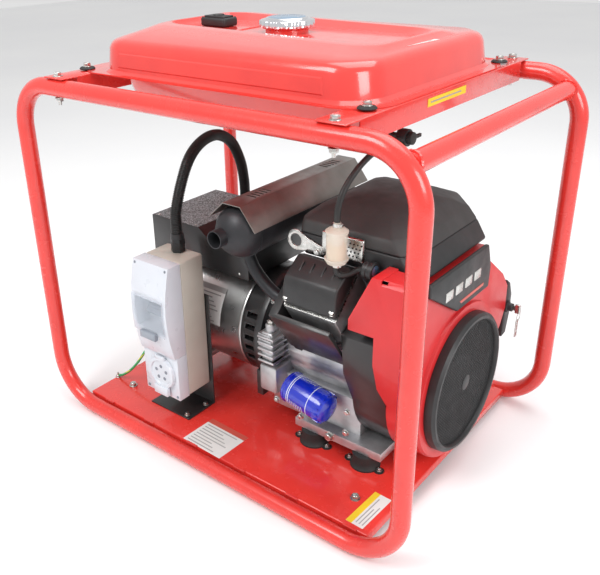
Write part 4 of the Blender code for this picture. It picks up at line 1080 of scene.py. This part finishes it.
# ---------------------------------------------------------------- engine
@dataclass
class Engine:
    """The V-twin: crankcase, cylinders, ducts, fan cover, air cleaner and fittings."""

    head_x: float = 0.190
    far_shift: float = -0.024
    ring: float = 0.1285
    cover_front: float = 0.3790

    def swing(self, side: int, out: float, across: float, x: float) -> Vector:
        """Gives a point by its place on a cylinder.

        Args:
            side: -1 for the near cylinder, 1 for the far one.
            out: How far out along the cylinder's axis it is.
            across: How far up across that axis it is.
            x: Where it is along the crankshaft.

        Returns:
            The point.
        """
        s = side * math.sin(math.radians(45))
        c = math.cos(math.radians(45))
        return Vector((x, out * s - across * side * c, CRANK_Z + out * c + across * abs(s)))

    def build_block(self) -> None:
        """Builds the crankcase with its ribs, bolts and drain plug, and the rotating parts."""
        case = Shape().node("crankcase", 0.0014, 35)
        low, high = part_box("crankcase")
        for k in range(5):
            z = 0.196 + 0.0135 * k
            case.block((0.024, -0.1560, z), (0.064, -0.1180, z + 0.0045), 0.0012)
        case.block((0.030, -0.150, 0.190), (0.058, -0.110, 0.262), 0.003)
        case.drum((0.044, -0.136, 0.262), UP, 0.016, 0.0105, sides=24, round_by=0.001)
        case.piece("engine_crankcase", CAST, stands_for=("crankcase",))
        bolts = Shape().bolts([(0.044, -0.136, 0.278)], UP, 0.0150)
        bolts.bolts([(0.200, low.y - 0.0002, 0.088)], NEAR, 0.0170)
        bolts.bolts([(x, low.y - 0.0002, z) for x, z in ((0.070, 0.120), (0.130, 0.104), (0.236, 0.112),
                                                         (0.238, 0.160))],
                    NEAR, 0.0110)
        bolts.piece("crankcase_bolts", ZINC)
        for node in ("crankshaft", "alternator_rotor"):
            dress(node, STEEL)
        dress("flywheel_fan", CAST)

    def build_cylinders(self) -> None:
        """Builds the finned cylinders, heads and valve covers."""
        for side, word in ((-1, "near"), (1, "far")):
            x = self.head_x + (self.far_shift if side > 0 else 0.0)
            node = "cylinder_" + word
            barrel = Shape().node(node, 0.0008)
            barrel.piece("finned_" + node, CAST, stands_for=(node,))
            axis = self.swing(side, 1, 0, 0) - self.swing(side, 0, 0, 0)
            lid = Shape().node("valve_cover_" + word, 0.0040, 25)
            for dx in (-0.034, -0.012, 0.012, 0.034):
                place = facing(self.swing(side, 0.2995, 0.030, x + dx), axis, 0)
                lid.plate([(-0.002, -0.020), (0.002, -0.020), (0.002, 0.020), (-0.002, 0.020)], place,
                          0.0024, round_by=0.0008)
            lid.piece("rocker_cover_" + word, WRINKLE, stands_for=("valve_cover_" + word,))
            seal = Shape()
            outline = [(-0.0570, -0.0300), (0.0570, -0.0300), (0.0570, 0.0640), (-0.0570, 0.0640)]
            seal.plate(outline, facing(self.swing(side, 0.2650, 0.0, x), axis, 0 if side < 0 else 180),
                       0.0010, 0.006)
            seal.piece("rocker_gasket_" + word, ZINC)
            heads = Shape()
            for dx in (-0.0490, 0.0490):
                for up in (-0.018, 0.058):
                    heads.bolts([self.swing(side, 0.2775 if up < 0 else 0.2800, up, x + dx)], axis, 0.0110)
            heads.piece("rocker_bolts_" + word, ZINC)

    def build_ducts(self) -> None:
        """Builds the ducts round the cylinders and the housing behind the fan."""
        for word in ("near", "far"):
            Shape().node("cylinder_shroud_" + word, 0.0010).piece("cooling_duct_" + word, BLACK_PAINT,
                                                                   stands_for=("cylinder_shroud_" + word,))
        copy_node("fan_housing", "blower_housing", BLACK_PAINT, 0.0020)

    def build_fan_cover(self) -> None:
        """Builds the red cover, its grille and the black panel over it."""
        front = self.cover_front

        def wide(edge: bmesh.types.BMEdge) -> float:
            """Gives the cover's front rim its wide radius.

            Args:
                edge: An edge of the cover.

            Returns:
                Its radius, or 0 for the usual one.
            """
            xs = [v.co.x for v in edge.verts]
            r = [math.hypot(v.co.y, v.co.z - CRANK_Z) for v in edge.verts]
            if min(xs) > front - 0.0002 and max(xs) < front + 0.0002 and min(r) > 0.1535:
                return 0.0095
            return 0.0
        cover = Shape().node("fan_cover", 0.0012, 30, wide=wide)
        cover.piece("red_fan_cover", COVER_RED, stands_for=("fan_cover",), smooth=42)
        centre = (0.3853, 0.0, CRANK_Z)
        rim = Shape().turned([(0.1225, 0.0020), (0.1365, 0.0), (0.1370, 0.0040), (0.1360, 0.0150),
                              (0.1310, 0.0200),
                              (0.1260, 0.0203), (0.1235, 0.0170), (0.1222, 0.0120)], centre, FAN_END, 96,
                              closed=True)
        # The disc behind the grille bars is painted shade, near black, standing for the shaded inside of the
        # fan housing.
        rim.turned([(0.0, 0.0040), (0.1240, 0.0040), (0.1240, 0.0070), (0.0, 0.0070)], centre, FAN_END, 64,
                   coat=1)
        pitch, half = 0.0042, 0.00075
        for turn in (45, -45):
            k = -29
            while k <= 29:
                reach = math.sqrt(max(0.0, 0.1228 ** 2 - (k * pitch) ** 2))
                if reach > 0.004:
                    rim.plate([(-reach, k * pitch - half), (reach, k * pitch - half),
                               (reach, k * pitch + half),
                               (-reach, k * pitch + half)],
                               facing((0.3853 + 0.0118 + (0.0006 if turn > 0 else 0), 0, CRANK_Z),
                                                                   FAN_END, turn), 0.0010)
                k += 1
        rim.turned([(0.0, 0.0150), (0.012, 0.0148), (0.0150, 0.0138), (0.0150, 0.0100), (0.0, 0.0100)],
                   centre, FAN_END, 40)
        rim.piece("fan_intake_grille", BLACK_PLASTIC, PAINTED_SHADE, stands_for=("fan_grille",))
        badge = Shape().node("badge_panel", 0.0030, 30)
        for y0, y1 in ((-0.092, -0.066), (-0.056, -0.030), (-0.020, 0.006), (0.016, 0.042)):
            badge.plate([(y0, 0.4090), (y1, 0.4090), (y1, 0.4270), (y0, 0.4270)],
                        facing((0.3870, 0, 0), FAN_END), 0.0018,
                        corners=0.002, round_by=0.0005, coat=1)
        badge.plate([(-0.030, 0.384), (0.060, 0.384), (0.060, 0.3900), (-0.036, 0.3900)],
                    facing((0.3870, 0, 0), FAN_END),
                    0.0014, round_by=0.0004, coat=2)
        badge.piece("blank_badge_panel", BLACK_PLASTIC, ZINC, LABEL_RED, stands_for=("badge_panel",))

    def build_air_cleaner(self) -> None:
        """Builds the air cleaner and the carburettor under it."""
        copy_node("air_cleaner_base", "cleaner_base", BLACK_PLASTIC, 0.0030, 20)
        cover = Shape().node("air_cleaner_cover", 0.0040, 12)
        cover.piece("cleaner_cover", GRAINED, stands_for=("air_cleaner_cover",), smooth=30)
        intake = Shape().block((0.176, -0.1545, 0.4700), (0.262, -0.1440, 0.5120), 0.004, 3)
        # The intake's holes are near-black discs of painted shade, standing for the shaded insides of the
        # holes.
        hole_shade_dots = Shape()
        for row in range(4):
            for col in range(9):
                hole_shade_dots.drum((0.190 + 0.0075 * col + 0.003 * row, -0.1547, 0.480 + 0.0075 * row), NEAR, 0.0008,
                          0.0016, sides=8)
        intake.piece("intake_duct_cover", ZINC)
        hole_shade_dots.piece("intake_hole_painted_shade", PAINTED_SHADE)
        Shape().node("carburettor", 0.0016).bolts([(0.164, -0.0402, 0.372), (0.208, -0.0402, 0.372)], NEAR,
                                                  0.009).piece(
            "carburettor_body", CAST, stands_for=("carburettor",))

    def build_fittings(self) -> None:
        """Builds the oil filter, starter, lifting eyes, key switch and the ignition lead."""
        start, way = Vector((0.101, -0.148, 0.162)), Vector((0.98, -0.10, -0.12)).normalized()
        can = Shape().turned([(0.0, 0.0), (0.030, 0.0), (0.0325, 0.0040), (0.0325, 0.0075),
                              (0.0312, 0.0085), (0.0312, 0.080),
                              (0.0305, 0.090), (0.0270, 0.0985), (0.0200, 0.102), (0.0, 0.102)], start, way,
                              72)
        for k in range(16):
            turn = 22.5 * k
            place = facing(start + way * 0.080, way, turn)
            can.plate([(0.0285, -0.0022), (0.0318, -0.0022), (0.0318, 0.0022), (0.0285, 0.0022)], place,
                      0.0150, round_by=0.0008)
        for height in (0.0160, 0.0200, 0.0660):
            can.turned([(0.0311, height), (0.0314, height), (0.0314, height + 0.0016),
                        (0.0311, height + 0.0016)],
                       start, way, 72, coat=1, closed=True)
        for k in range(7):
            for turn in (70, 200, 320):
                place = facing(start + way * (0.026 + 0.005 * k), way, turn)
                place = place @ Matrix.Translation((0.0310, 0, 0))
                can.plate([(0.0, -0.009 + 0.0012 * (k % 3)), (0.0005, -0.009), (0.0005, 0.008),
                           (0.0, 0.008 - 0.002 * (k % 2))],
                          place, 0.0014, coat=1)
        can.piece("oil_filter_can", OIL_BLUE, WHITE_LINE, stands_for=("oil_filter",))
        starter = Shape().node("starter_motor", 0.0015)
        starter.bolts([(0.195, 0.150 + s * 0.022, 0.160) for s in (-1, 1)], FAN_END, 0.008, washer=False)
        starter.piece("electric_starter", BLACK_PAINT, stands_for=("starter_motor",))
        copy_node("lifting_eye", "near_lifting_eye", ZINC, 0.0007)
        Shape().bolts([(0.168, -0.1522, 0.4690)], NEAR, 0.0120).piece("lifting_eye_bolt", ZINC)
        switch = Shape().node("key_switch", 0.0024, 30)
        switch.turned([(0.0090, 0.0), (0.0125, 0.0), (0.0125, 0.0030), (0.0095, 0.0045), (0.0090, 0.0045)],
                      (0.3780, 0.2195, 0.272), FAN_END, 32, closed=True)
        switch.piece("start_switch_panel", BLACK_PLASTIC, stands_for=("key_switch",))
        key = Shape().node("ignition_key", 0.0006)
        loop = [Vector((0.4040, 0.2195 + 0.009 * math.sin(a), 0.2640 - 0.009 + 0.009 * math.cos(a)))
                for a in (math.tau * k / 28 for k in range(28))]
        key.pipe(loop, 0.0007, closed=True, fullness=2)
        key.block((0.4015, 0.2140, 0.2090), (0.4035, 0.2250, 0.2480), 0.0008)
        key.piece("start_key", ZINC, stands_for=("ignition_key",), body="key")
        boot = Shape().turned([(0.0, 0.0), (0.0100, 0.0), (0.0110, 0.002), (0.0095, 0.012), (0.0080, 0.030),
                               (0.0060, 0.036),
                               (0.0, 0.036)], (0.199, -0.170, 0.395), (0.2, -0.9, 0.45), 28)
        boot.piece("spark_plug_boot", RUBBER)

    def build(self) -> None:
        """Builds the whole engine."""
        self.build_block()
        self.build_cylinders()
        self.build_ducts()
        self.build_fan_cover()
        self.build_air_cleaner()
        self.build_fittings()


# ---------------------------------------------------------------- exhaust
@dataclass
class Exhaust:
    """The lying muffler, its heat shield and its pipes."""

    axis_x: float = 0.013
    axis_z: float = 0.482

    def build(self) -> None:
        """Builds the muffler, the shield and both pipes."""
        muffler = Shape().node("muffler", 0.0010, 45)
        for y in (-0.178, 0.112):
            muffler.turned([(0.0495, 0.0), (0.0510, 0.0), (0.0510, 0.0040), (0.0495, 0.0040)],
                           (self.axis_x, y, self.axis_z),
                           FAR, 64, closed=True)
        muffler.piece("lying_muffler", EXHAUST, stands_for=("muffler",), smooth=45)
        shield = Shape().node("heat_shield", 0.0006, 25)
        shield.piece("exhaust_heat_shield", WARM_SHEET, stands_for=("heat_shield",))
        copy_node("exhaust_pipe", "near_exhaust_pipe", EXHAUST, 0.0, 45)


# ---------------------------------------------------------------- alternator
@dataclass
class Alternator:
    """The alternator, the control box on it, the rubber mounts and the earth lead."""

    radius: float = 0.1225

    def build_barrel(self) -> None:
        """Builds the barrel with its end rings, seam and blank label, and the end brackets."""
        barrel = Shape().turned([(0.1200, 0.0), (0.1228, 0.0), (0.1234, 0.0012), (0.1234, 0.0060),
                                 (0.1225, 0.0072),
                                 (0.1225, 0.1878), (0.1234, 0.1890), (0.1234, 0.1938), (0.1228, 0.1950),
                                 (0.1200, 0.1950)],
                                (-0.2450, 0, CRANK_Z), FAN_END, 128, closed=True)
        barrel.piece("alternator_wrap", STAINLESS, stands_for=("alternator_barrel",))
        radius = self.radius + 0.0004

        def bend(point: Vector) -> Vector:
            """Bends a point of the label round the barrel.

            Args:
                point: The point on the flat label.

            Returns:
                The point on the barrel.
            """
            turn = point.y / radius
            r = radius + point.z
            return Vector((point.x, -r * math.cos(turn), r * math.sin(turn)))
        place = Matrix.Translation((-0.145, 0, CRANK_Z)) @ Matrix.Rotation(math.radians(-22), 4, "X")
        Shape().label(place, 0.074, 0.084, 8, 0.14, bend=bend).piece("alternator_blank_label", LABEL,
                LABEL_GREY, LABEL_GREY)
        rear = Shape().node("rear_bracket", 0.0012)
        rear.piece("rear_end_bracket", CAST, stands_for=("rear_bracket",))
        copy_node("drive_end_bracket", "front_end_bracket", BLACK_PAINT, 0.0012)
        ties = Shape()
        for k in range(4):
            turn = math.radians(45 + 90 * k)
            ties.bolts([(-0.2915, 0.105 * math.cos(turn), CRANK_Z + 0.105 * math.sin(turn))], DRIVE_END,
                       0.010)
            ties.bolts([(0.0125, 0.127 * math.cos(turn), CRANK_Z + 0.127 * math.sin(turn))], FAN_END, 0.010)
        ties.piece("alternator_tie_bolts", ZINC)

    def build_control_box(self) -> None:
        """Builds the control box with its speckled top and screws."""
        copy_node("control_box", "control_housing", BLACK_PAINT, 0.0014, 25)
        top = Shape().plate([(-0.3135, -0.1000), (-0.1775, -0.1000), (-0.1775, 0.1040), (-0.3135, 0.1040)],
                            facing((0, 0, 0.4200), UP), 0.0006, corners=0.002)
        top.piece("control_housing_top", SPECKLED)
        screws = Shape().screws([(-0.3152, s * 0.088, z) for s in (-1, 1) for z in (0.345, 0.405)],
                                DRIVE_END, 0.0030)
        screws.screws([(x, -0.1022, 0.343) for x in (-0.064, -0.190, -0.300)], NEAR, 0.0030)
        screws.screws([(x, -0.0940, 0.4206) for x in (-0.300, -0.190)], UP, 0.0026)
        screws.piece("control_housing_screws", ZINC)

    def build_mounts(self) -> None:
        """Builds the rubber mounts with their cups and bolts, and the earth lead."""
        cups, nuts = Shape(), Shape()
        for node in sorted(n for n in frame["nodes"] if "isolator" in n):
            low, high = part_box(node)
            x, y, r = (low.x + high.x) / 2, (low.y + high.y) / 2, (high.x - low.x) / 2
            tall = high.z - low.z
            Shape().turned([(0.0, 0.0), (r, 0.0), (r, tall * 0.10), (r * 0.94, tall * 0.16),
                            (r * 0.84, tall * 0.45),
                            (r * 0.88, tall * 0.80), (r * 0.86, tall * 0.93), (r * 0.70, tall),
                            (0.0, tall)],
                           (x, y, low.z), UP, 48).piece(node.replace("isolator", "mount"), RUBBER,
                                                        stands_for=(node,))
            side = -1 if y < 0 else 1
            for dx in (-1, 1):
                cups.turned([(0.0, 0.0), (0.0100, 0.0), (0.0100, 0.0020), (0.0, 0.0020)],
                            (x + dx * (r + 0.004), y + side * 0.004, low.z - 0.0001), UP, 20)
                nuts.bolts([(x + dx * (r + 0.004), y + side * 0.004, low.z + 0.0019)], UP, 0.0100)
        cups.piece("mount_ears", RUBBER)
        nuts.piece("mount_ear_bolts", ZINC)
        lead = smooth_path([(-0.361, -0.208, 0.0385), (-0.345, -0.207, 0.047), (-0.322, -0.204, 0.066),
                            (-0.300, -0.196, 0.094),
                            (-0.288, -0.178, 0.124), (-0.284, -0.152, 0.150), (-0.282, -0.129, 0.165)],
                            0.003)
        earth = Shape().pipe(lead, 0.0028, fullness=3)
        stripe = [p + Vector((0.0013 * math.cos(k * 0.35), 0.0013 * math.sin(k * 0.35), 0.0008)) for k,
                  p in enumerate(lead)]
        earth.pipe(stripe, 0.0017, fullness=2, coat=1)
        earth.piece("earth_lead", GREEN, YELLOW, stands_for=("earth_cable",))

    def build(self) -> None:
        """Builds the alternator and what is on it."""
        self.build_barrel()
        self.build_control_box()
        self.build_mounts()


# ---------------------------------------------------------------- outlet box
@dataclass
class OutletBox:
    """The outlet box on its bracket: lids, window, breaker, socket, and the conduit into it."""

    low_x: float = -0.218
    high_x: float = -0.118
    socket: tuple[float, float] = (-0.164, 0.142)

    def build_box(self) -> None:
        """Builds the bracket, the base, the lids and what is printed on and screwed to them."""
        bracket = Shape().node("outlet_bracket", 0.0008)
        bracket.piece("outlet_stand", BLACK_PAINT, stands_for=("outlet_bracket",))
        Shape().bolts([(-0.120, -0.169, 0.0360), (-0.124, -0.222, 0.0360), (-0.217, -0.169, 0.0360)], UP,
                      0.0100).piece(
            "outlet_stand_bolts", ZINC)
        copy_node("outlet_box_base", "outlet_back_box", BEIGE, 0.0010, 35)
        Shape().node("outlet_lid_upper", 0.0018, 35).piece("outlet_upper_cover", LID,
                                                           stands_for=("outlet_lid_upper",), smooth=30)
        lower = Shape().node("outlet_lid_lower", 0.0014, 35)
        lower.piece("outlet_lower_cover", LID, stands_for=("outlet_lid_lower",))
        screws = Shape().screws([(x, -0.2512, z) for x in (-0.211, -0.125) for z in (0.386,)], NEAR, 0.0032)
        screws.screws([(x, -0.2446, 0.0930) for x in (-0.211, -0.125)], NEAR, 0.0032)
        screws.piece("outlet_cover_screws", GREY)

    def build_window(self) -> None:
        """Builds the breaker behind its clear window."""
        copy_node("breaker_toggle", "breaker_lever", GREY, 0.0006, body="toggle")
        modules = Shape()
        for k in range(4):
            x = -0.2040 + 0.0180 * k
            modules.block((x, -0.2268, 0.2530), (x + 0.0174, -0.2240 - 0.0002, 0.3150), 0.0006)
        modules.piece("breaker_modules", LID)
        flap = Shape().node("window_flap", 0.0008)
        flap.piece("clear_window", CLEAR, stands_for=("window_flap",), body="window")
        latch = Shape().block((-0.1905, -0.27445, 0.2325), (-0.1455, -0.2655, 0.2488), 0.0018, 2)
        latch.piece("window_latch", GREY, body="window")

    def build_socket(self) -> None:
        """Builds the five-pin socket and its hinged cover."""
        x, z = self.socket
        flap = Shape().turned([(0.0, 0.0015), (0.0270, 0.0015), (0.0270, 0.0), (0.0368, 0.0),
                               (0.0368, 0.0040), (0.0355, 0.0072),
                               (0.0330, 0.0078), (0.0290, 0.0078), (0.0270, 0.0050), (0.0, 0.0050)],
                              (x, -0.2447, z), NEAR, 64)
        flap.block((x - 0.014, -0.2527, z + 0.032), (x + 0.014, -0.2480, z + 0.0415), 0.0012)
        flap.block((x - 0.020, -0.2563, z - 0.0515), (x + 0.020, -0.2470, z - 0.0310), 0.0020)
        for k in range(5):
            a = math.radians(90 + 72 * k)
            flap.turned([(0.0, 0.0004), (0.0040, 0.0004), (0.0040, 0.0), (0.0, 0.0)],
                        (x + 0.0150 * math.cos(a), -0.2497, z + 0.0150 * math.sin(a)), NEAR, 20, coat=1)
        flap.piece("socket_cover_flap", LID, GREY, stands_for=("socket_flap",), body="socket_cover")

    def build_conduit(self) -> None:
        """Builds the gland and the ribbed conduit that runs to the control box."""
        gx, gy = -0.166, -0.172
        knots = [(gx, gy, 0.4343), (gx, gy, 0.452), (-0.1665, -0.170, 0.478), (-0.170, -0.148, 0.527),
                 (-0.174, -0.115, 0.574),
                 (-0.180, -0.070, 0.597), (-0.187, -0.017, 0.598), (-0.194, 0.033, 0.571),
                 (-0.198, 0.065, 0.522),
                 (-0.1995, 0.077, 0.478), (-0.200, 0.080, 0.445), (-0.200, 0.080, 0.4206)]
        ribs = (1.0, 1.0, 0.86, 0.86)
        Shape().pipe(smooth_path(knots, 0.00085), 0.0119, fullness=4, swell=lambda k: ribs[k % 4]).piece(
            "ribbed_conduit", HOSE, stands_for=("conduit",), smooth=50)
        gland = Shape().drum((gx, gy, 0.3938), UP, 0.0075, 0.0150, sides=6, round_by=0.0008)
        gland.turned([(0.0, 0.0072), (0.0138, 0.0072), (0.0142, 0.0100), (0.0142, 0.0210), (0.0, 0.0210)],
                     (gx, gy, 0.3938), UP, 40)
        gland.drum((gx, gy, 0.4100), UP, 0.0120, 0.0152, sides=6, round_by=0.0010)
        gland.turned([(0.0, 0.0), (0.0140, 0.0), (0.0135, 0.0070), (0.0126, 0.0115), (0.0, 0.0115)],
                     (gx, gy, 0.4220), UP, 40)
        gland.piece("conduit_gland_nut", BLACK_PLASTIC, stands_for=("conduit_gland",))

    def build(self) -> None:
        """Builds the outlet box and its conduit."""
        self.build_box()
        self.build_window()
        self.build_socket()
        self.build_conduit()


# ---------------------------------------------------------------- studio
@dataclass
class Studio:
    """The camera, the pale floor and the soft lights."""

    place: Point = (0.8788, -1.1554, 0.9975)
    azimuth: float = 40.18
    elevation: float = 24.83
    roll: float = -1.647
    lens: float = 45.474
    shift: tuple[float, float] = (0.0678, -0.0237)

    def build_camera(self) -> None:
        """Stands the camera up and makes it the scene's own."""
        az, el, roll = (math.radians(a) for a in (self.azimuth, self.elevation, self.roll))
        back = Vector((math.sin(az) * math.cos(el), -math.cos(az) * math.cos(el), math.sin(el)))
        right = (-back).cross(Vector(UP)).normalized()
        up = right.cross(-back)
        across = right * math.cos(roll) + up * math.sin(roll)
        upright = up * math.cos(roll) - right * math.sin(roll)
        turn = Matrix((across, upright, back)).transposed().to_4x4()
        data = bpy.data.cameras.new("studio_camera")
        data.lens = self.lens
        data.sensor_width = 36.0
        data.shift_x, data.shift_y = self.shift
        camera = bpy.data.objects.new("studio_camera", data)
        camera.matrix_world = Matrix.Translation(self.place) @ turn
        bpy.context.scene.collection.objects.link(camera)
        bpy.context.scene.camera = camera

    def build_floor(self) -> None:
        """Lays the pale floor."""
        shape = bmesh.new()
        bmesh.ops.create_grid(shape, x_segments=1, y_segments=1, size=9.0)
        bmesh.ops.translate(shape, vec=(0, 0, -0.0006), verts=shape.verts)
        mesh = bpy.data.meshes.new("studio_floor")
        shape.to_mesh(mesh)
        shape.free()
        graph = Graph("floor_white")
        graph.fix(Roughness=0.75)
        graph.feed("Base Color", graph.ramp(graph.noise(0.8), (0.3, (0.86, 0.86, 0.87)),
                                            (0.7, (0.90, 0.90, 0.90))))
        mesh.materials.append(graph.material)
        floor = bpy.data.objects.new("studio_floor", mesh)
        bpy.context.scene.collection.objects.link(floor)

    def build_lights(self) -> None:
        """Hangs the soft lights."""
        world = bpy.data.worlds.new("studio_world")
        world.use_nodes = True
        world.node_tree.nodes["Background"].inputs["Color"].default_value = (1.0, 1.0, 1.0, 1.0)
        world.node_tree.nodes["Background"].inputs["Strength"].default_value = 0.75
        bpy.context.scene.world = world
        for name, place, size, power in (("key", (-0.6, -2.2, 2.6), 1.4, 52.0),
                                         ("end", (2.6, -0.6, 1.7), 1.2, 34.0),
                                         ("top", (0.3, 0.6, 3.0), 2.2, 44.0)):
            data = bpy.data.lights.new("studio_" + name, "AREA")
            data.size = size
            data.energy = power
            lamp = bpy.data.objects.new("studio_" + name, data)
            lamp.matrix_world = facing(place, Vector(place) - Vector((0, 0, 0.35)))
            bpy.context.scene.collection.objects.link(lamp)

    def build(self) -> None:
        """Builds the studio."""
        self.build_camera()
        self.build_floor()
        self.build_lights()
        bpy.context.scene.view_settings.view_transform = "Standard"


def main() -> None:
    """Builds the sub-assemblies in order."""
    logging.basicConfig(level=logging.INFO, format="%(name)s %(message)s")
    for assembly in (Studio(), Cradle(), Tank(), Engine(), Exhaust(), Alternator(), OutletBox()):
        assembly.build()
        log.info("%s is done", type(assembly).__name__)
    bpy.context.view_layer.update()


if __name__ == "__main__":
    main()
